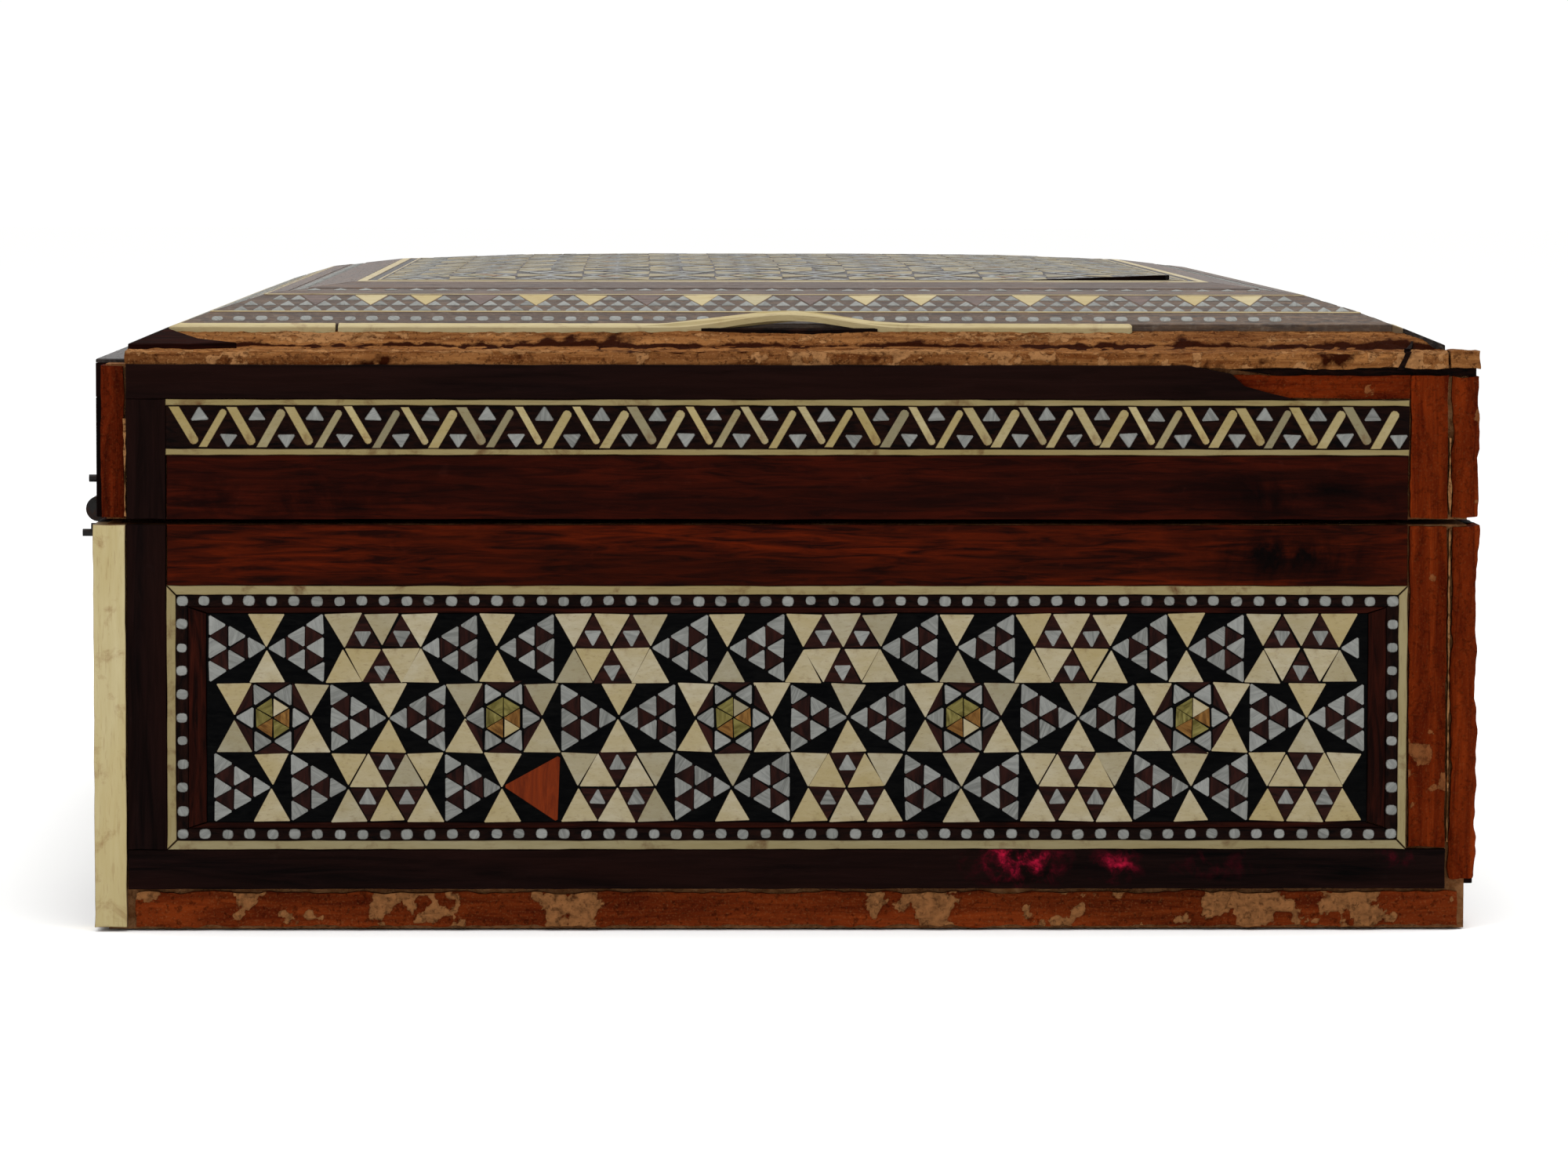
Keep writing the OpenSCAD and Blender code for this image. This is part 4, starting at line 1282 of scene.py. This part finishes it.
def lidCentre():
    halfX, halfY = lidPlate.x - edge["panel"], lidPlate.y - edge["panel"]
    bm, layers = newSlabs()
    rings = []
    insets = [edge["panel"] + 0.03 * mm] + [i for i, _ in lidProfile if i > edge["panel"] + 0.0001]
    for depth in (marquetryT, bands["bed"]):
        for inset in insets if depth == bands["bed"] else insets[:1]:
            z = boardHeight(inset) + marquetryT - depth
            rings.append(cornerRing(bm, layers, lidPlate.x - inset, lidPlate.y - inset, z))
    closeRings(bm, rings)
    newObject("lidPanelGround", meshFrom(bm, "lidPanelGround"), ("lidEbonyTop",), "lid",
              ("lid_centre_panel",))
    margin = bands["secondLineFrom"] + fine
    lidStrips("lidSecondFineLine", edge["panel"] + bands["secondLineFrom"], edge["panel"] + margin,
              "boneTop",
              thick=0.5 * mm)
    rows = round(2 * (halfY - margin) / rowHeight)
    fit = 2 * (halfY - margin - 0.2 * mm) / (rows * rowHeight)
    width = 2 * (halfX - margin - 0.2 * mm)
    mesh = tileMesh(mosaicSpots(width / fit, rows, otherTurns, True), "lidPanelTiles", 900,
                    mosaic["squash"], "Top")
    mesh.transform(Matrix.Diagonal((fit, fit, 1, 1)))
    mesh.transform(Matrix.Translation((-width / 2, -rows * rowHeight * fit / 2, 0)))
    for v in mesh.vertices:
        v.co.z += boardHeight(insetAt(v.co.x, v.co.y)) + marquetryT
    newObject("lidPanelTiles", mesh, body="lid")


lidCentre()
print("stage: lid marquetry")


# Bare and broken wood
def wave(x, y, seed, size):  # about -1 to 1, with bumps of roughly the given size
    return noise.noise(Vector((x / size, y / size, seed * 3.7)))


def roughBlock(bm, layers, x0, x1, y0, y1, step, low, top, ragged, seed, place, sideways=False):
    nx, ny = max(2, round((x1 - x0) / step)), max(2, round((y1 - y0) / step))
    grid = []
    for j in range(ny + 1):
        row = []
        for i in range(nx + 1):
            x, y = x0 + (x1 - x0) * i / nx, y0 + (y1 - y0) * j / ny
            sway = ragged * (wave(x, y, seed, 4 * mm) + 0.7 * wave(x, y, seed + 1, 1.3 * mm) - 0.6)
            px = x + (-sway if i == 0 else sway if i == nx else 0)
            py = y + (-sway if j == 0 else sway if j == ny else 0)
            z, flake = top(px, py)
            v = bm.verts.new(place(Vector((px, py, z))))
            v[layers["along"]] = (py, px, z) if sideways else (px, py, z)
            v[layers["tone"]] = 0.5
            v[layers["flake"]] = flake
            row.append((v, px, py))
        grid.append(row)
    rim = grid[0][:-1] + [r[-1] for r in grid[:-1]] + grid[-1][:0:-1] + [r[0] for r in grid[:0:-1]]
    foot = []
    for v, px, py in rim:
        w = bm.verts.new(place(Vector((px, py, low))))
        w[layers["along"]] = (py, px, low) if sideways else (px, py, low)
        w[layers["tone"]] = 0.5
        foot.append(w)
    for j in range(ny):
        for i in range(nx):
            bm.faces.new((grid[j][i][0], grid[j][i + 1][0], grid[j + 1][i + 1][0], grid[j + 1][i][0]))
    for k in range(len(rim)):
        n = (k + 1) % len(rim)
        bm.faces.new((foot[k], foot[n], rim[n][0], rim[k][0]))
    bm.faces.new(list(reversed(foot)))


# a top for roughBlock: grain ripples and raised glue flakes
def rough(height, relief, flakeFrom, flakeHigh, seed):
    def top(x, y):
        ripple = relief * (wave(x / 4, y, seed, 1.4 * mm) + 0.5 * wave(x, y, seed + 2, 0.7 * mm))
        patch = wave(x, y, seed + 5, 7 * mm) + 0.6 * wave(x, y, seed + 6,
                                                          2.2 * mm) + 0.25 * wave(x, y, seed + 8, 0.8 * mm)
        flake = max(0.0, min(1.0, (patch - flakeFrom) / 0.12 + 0.5))
        return height + ripple + flake * flakeHigh, flake
    return top


def barePiece(name, blocks, material, body):
    bm, layers = newSlabs()
    to = sideMatrix("left")
    for b in blocks:
        step, low = b.get("step", 0.5 * mm), b.get("low", -0.2 * mm)
        roughBlock(bm, layers, *b["span"], step, low, b["top"], b["ragged"], b["seed"], lambda v: to @ v,
                   b.get("sideways", False))
    newObject(name, meshFrom(bm, name), (material,), body)


boxHalfW = -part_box("base_lower_rails")[0].y
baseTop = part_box("base_wall_left")[1].z
lidBottom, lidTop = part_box("lid_wall_left")[0].z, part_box("lid_wall_left")[1].z
stileFrom = -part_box("bone_frame_left")[0].y
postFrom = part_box("lid_dark_border")[1].y
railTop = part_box("base_lower_rails")[0].z


def rounded(x0, x1, bulge, shape):  # swells a rough top across its width
    def top(x, y):
        t = (x - x0) / (x1 - x0) * 2 - 1
        z, flake = shape(x, y)
        return z + bulge * (math.sqrt(max(0, 1 - 0.85 * t * t)) - 1), flake
    return top


postTop = rounded(postFrom + 0.2 * mm, boxHalfW, 1.1 * mm, rough(1.2 * mm, 0.16 * mm, 0.85, 0.1 * mm, 11))
barePiece("bareBottomEdge", [
    {"span": (-boxHalfW + 4.6 * mm, boxHalfW - 2.2 * mm, 0.15 * mm, railTop - 0.25 * mm), "step": 0.4 * mm,
     "low": -0.2 * mm,
     "top": rough(0.75 * mm, 0.1 * mm, 0.28, 0.3 * mm, 21), "ragged": 0.35 * mm, "seed": 3},
], "glueyWood", "base")
barePiece("bareBaseStile", [
    {"span": (stileFrom + 0.15 * mm, postFrom + 0.05 * mm, 9.4 * mm, baseTop - 0.1 * mm), "low": -0.1 * mm,
     "sideways": True,
     "top": rough(1.0 * mm, 0.07 * mm, 0.62, 0.15 * mm, 31), "ragged": 0.15 * mm, "seed": 4},
], "bareWood", "base")
barePiece("bareBasePost", [
    {"span": (postFrom + 0.35 * mm, boxHalfW - 0.12 * mm, 5.6 * mm, baseTop - 0.05 * mm), "low": -3.6 * mm,
     "sideways": True, "top": postTop, "ragged": 0.35 * mm, "seed": 5},
], "bareWood", "base")
barePiece("bareLidStile", [
    {"span": (stileFrom + 0.15 * mm, postFrom + 0.05 * mm, lidBottom + 0.1 * mm, lidTop - 1.15 * mm),
     "low": -0.1 * mm,
     "sideways": True, "top": rough(1.0 * mm, 0.1 * mm, 0.75, 0.15 * mm, 41), "ragged": 0.15 * mm,
     "seed": 6},
    {"span": (stileFrom - 30 * mm, stileFrom + 0.2 * mm, 61.4 * mm, lidTop - 1.15 * mm), "low": -0.1 * mm,
     "top": rough(0.8 * mm, 0.1 * mm, 0.7, 0.15 * mm, 42), "ragged": 0.12 * mm, "seed": 16},
], "bareWood", "lid")
barePiece("bareLidPost", [
    {"span": (postFrom + 0.35 * mm, boxHalfW - 0.12 * mm, lidBottom + 0.1 * mm, lidTop - 1.1 * mm),
     "low": -3.6 * mm, "sideways": True, "top": postTop, "ragged": 0.3 * mm, "seed": 7},
], "bareWood", "lid")
barePiece("bareLidCornerBlock", [
    {"span": (postFrom + 0.05 * mm, boxHalfW - 0.1 * mm, lidTop - 0.5 * mm, lidTop + 1.8 * mm),
     "low": -3.6 * mm, "step": 0.35 * mm,
     "top": rough(1.1 * mm, 0.15 * mm, 0.6, 0.2 * mm, 12), "ragged": 0.25 * mm, "seed": 17},
], "tanWood", "lid")
seamTop = rough(1.25 * mm, 0.25 * mm, -0.4, 0.1 * mm, 81)  # pale torn glue where the strips were
barePiece("lidSeams", [
    {"span": (postFrom + 0.05 * mm, postFrom + 0.4 * mm, lidBottom + 0.4 * mm, 57 * mm), "low": -0.1 * mm,
     "step": 0.3 * mm, "sideways": True, "top": seamTop, "ragged": 0.22 * mm, "seed": 18},
    {"span": (-postFrom - 0.3 * mm, -postFrom + 0.05 * mm, lidBottom + 0.3 * mm, 59 * mm),
     "low": -0.1 * mm, "step": 0.3 * mm, "sideways": True, "top": seamTop, "ragged": 0.22 * mm, "seed": 19},
], "tanWood", "lid")
barePiece("baseSeam", [
    {"span": (postFrom + 0.05 * mm, postFrom + 0.4 * mm, 10 * mm, baseTop - 0.3 * mm), "low": -0.1 * mm,
     "step": 0.3 * mm, "sideways": True, "top": seamTop, "ragged": 0.25 * mm, "seed": 20},
], "tanWood", "base")
barePiece("bareLidBackPost", [
    {"span": (-boxHalfW + 0.9 * mm, -postFrom - 0.15 * mm, lidBottom + 0.1 * mm, lidTop - 0.1 * mm),
     "low": -3.6 * mm, "sideways": True, "top": rounded(-boxHalfW + 0.9 * mm, -postFrom, 0.5 * mm,
                                      rough(0.8 * mm, 0.14 * mm, 0.8, 0.1 * mm, 51)),
     "ragged": 0.15 * mm, "seed": 8},
], "darkBareWood", "lid")

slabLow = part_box("lid_top_board")[0].z
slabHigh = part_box("lid_dark_border")[0].z
outerX = -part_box("lid_top_board")[0].x


def lidBoard():  # the pine board under the marquetry, reaching out to the left end's face
    bm, layers = newSlabs()
    x0, x1, y1 = -outerX + 1.0 * mm, lidPlate.x - 0.05 * mm, postFrom - 0.2 * mm
    plan = [Vector(p) for p in ((x0, -y1), (x1, -y1), (x1, y1), (x0, y1))]
    addSlab(bm, layers, plan, slabLow, slabHigh, 0.2 * mm, 0.4)
    rings = []
    for n, (inset, z) in enumerate([(0.0, slabHigh - 0.5 * mm)] + lidProfile):
        by = inset + (0.02 * mm if n < 2 else 0)
        rings.append(cornerRing(bm, layers, lidPlate.x - by, lidPlate.y - by, z))
    closeRings(bm, rings)
    newObject("lidBoard", meshFrom(bm, "lidBoard"), ("tanWood",), "lid", ("lid_top_board",))
    bm, layers = newSlabs()
    for side in ("front", "right", "back"):  # a thin ebony ledge round the board on the other sides
        half, out = (outerX, boxHalfW) if side in ("front", "back") else (boxHalfW, outerX)
        start = -half + (5.4 * mm if side == "front" else 0.05 * mm)
        end = half - (5.4 * mm if side == "back" else 0.05 * mm)
        turn = Matrix.Rotation(math.radians(90 * sides.index(side)), 3, "Z")
        inner, outer = plateHalf[side] + 0.02 * mm - out, -0.03 * mm
        loop = [Vector((start, -outer)), Vector((end, -outer)), Vector((end, -inner)),
                Vector((start, -inner))]
        addSlab(bm, layers, roughLoop(loop, 2 * mm, 0.04 * mm, 3), slabLow, slabLow + 0.45 * mm, 0.12 * mm,
                0.5, False,
                lambda v: turn @ Vector((v.x, v.y - out, v.z)))
    newObject("lidLedge", meshFrom(bm, "lidLedge"), ("lidEbonyTop",), "lid")


lidBoard()


def shadeSlivers(name, body, pieces):  # painted shade: thin dark wedges standing for the shadow inside cracks and gaps
    bm, layers = newSlabs()
    for outline, low, high, putAt in pieces:
        loop = roughLoop([Vector(q) for q in outline], 0.8 * mm, 0.06 * mm, 13)
        addSlab(bm, layers, loop, low, high, 0.02 * mm, 0.5, False, putAt)
    newObject(name, meshFrom(bm, name), ("darkBed",), body)


def onLeft(v):
    return sideMatrix("left") @ v


def risingSplit(v):  # a lifted lip of veneer, flat at one end
    return onLid("left")(Vector((v.x, v.y, v.z * max(0.1, min(1.0, (v.x - 30 * mm) / (16 * mm))))))


gapFrom = boxHalfW - 29 * mm
# painted shade in the left end's gap, two cracks, under the sprung stringing and under the lifted split
shadeSlivers("lidGapAndCracks", "lid", [
    (((gapFrom, lidTop - 0.6 * mm), (gapFrom + 6 * mm, lidTop - 1.3 * mm),
      (boxHalfW - 0.6 * mm, lidTop - 1.3 * mm),
      (boxHalfW - 0.6 * mm, lidTop - 0.35 * mm), (gapFrom + 6 * mm, lidTop - 0.35 * mm)), 0, 0.45 * mm,
      onLeft),
    (((70.1 * mm, 64.8 * mm), (70.9 * mm, 64.8 * mm), (71.8 * mm, 66.9 * mm), (71.2 * mm, 66.9 * mm)), 0,
     1.45 * mm, onLeft),
    (((71.0 * mm, -3.0 * mm), (71.7 * mm, -3.0 * mm), (72.6 * mm, 1.7 * mm), (72.3 * mm, 1.7 * mm)),
     -1 * mm, -0.28 * mm,
     onLid("left")),
    (((-10 * mm, 4.35 * mm), (-3 * mm, 3.95 * mm), (3 * mm, 3.85 * mm), (10.5 * mm, 4.3 * mm),
      (10 * mm, 4.5 * mm),
      (-9 * mm, 4.5 * mm)), -0.8 * mm, -0.1 * mm, onLid("left")),
    (((30 * mm, 28.3 * mm), (46 * mm, 29.3 * mm), (46.5 * mm, 30.2 * mm), (30 * mm, 28.6 * mm)), -0.3 * mm,
     0.5 * mm, risingSplit),
])


# the left end's torn shoulder: the board's edge, a groove and the slope up to the stringing
def bareSlope():
    s = {"step": 0.4 * mm, "groove": 0.33 * mm, "rough": 0.2 * mm}
    bm, layers = newSlabs()
    sprung = onLid("left")
    slopeTop = edge["stringing"] + 0.1 * mm
    shoulder = outerX - lidPlate.x
    reach = postFrom + 0.1 * mm

    def slopeShape(x, y):
        inset = y
        grain = s["rough"] * (wave(x / 6, y, 61, 1.2 * mm) + 0.6 * wave(x, y, 62, 0.8 * mm))
        patch = wave(x / 3, y, 63, 5 * mm) + 0.5 * wave(x, y, 64, 1.5 * mm)
        off = (inset - 0.9 * mm + 0.5 * mm * wave(x, 0, 65,
                                                  9 * mm) + 0.4 * mm * wave(x, 0, 66,
                                                                            1.5 * mm)) / (0.8 * mm)
        dip = math.exp(-off * off) * (0.85 + 0.6 * wave(x, 0, 67, 4 * mm))
        chip = 0.25 * mm * max(0.0, wave(x, y, 68, 2.5 * mm) - 0.25)
        # the groove lowers the flake value, which the bare wood paints darker: painted shade in the groove
        return -0.5 * mm + grain - s["groove"] * dip - chip, max(-1.0,
                                                                 min(1.0, 0.25 + 1.2 * patch - 1.6 * dip))

    def slopePlace(v):
        if v.y > 0:
            return sprung(v)
        base = sprung(Vector((v.x, 0, v.z)))
        drop = -0.1 * v.y
        return Vector((base.x + v.y, base.y, base.z - drop))

    roughBlock(bm, layers, -reach, reach, -shoulder + 0.7 * mm, slopeTop, s["step"],
               -marquetryT - 0.3 * mm, slopeShape, 0.2 * mm,
               9, slopePlace)
    to = sideMatrix("left")

    def edgeShape(x, y):
        z, flake = rough(1.15 * mm, 0.16 * mm, 0.3, 0.2 * mm, 71)(x, y)
        flake -= 1.3 * max(0.0, wave(x / 2.5, y, 73, 2.2 * mm) + 0.35 * wave(x, y, 74, 0.9 * mm) - 0.05)
        return z - 0.5 * mm * max(0, (y - slabHigh + 0.9 * mm) / (0.9 * mm)) ** 2, flake

    roughBlock(bm, layers, -reach, reach, slabLow - 0.5 * mm, slabHigh + 0.25 * mm, s["step"], 0,
               edgeShape, 0.25 * mm, 10,
               lambda v: to @ v)
    newObject("bareLidEdge", meshFrom(bm, "bareLidEdge"), ("tanWood",), "lid")


bareSlope()
print("stage: bare wood")


record = {p["node"]: p["material_slot"] for p in frame["record"]["subparts"]}
for ob in frame["nodes"].values():
    slot = record[ob.name] if ob.name in record else None
    paint = {"core_wood": "coreWood", "velvet": "velvet", "hinge_iron": "iron", "bone": "bone",
             "ebony": "ebony",
             "rosewood": "rosewood", "mosaic": "darkTile", "dotted_inlay": "ebony"}.get(slot, "coreWood")
    ob.data.materials.clear()
    ob.data.materials.append(mats[paint])

for ob in tiles.values():
    bpy.data.objects.remove(ob)
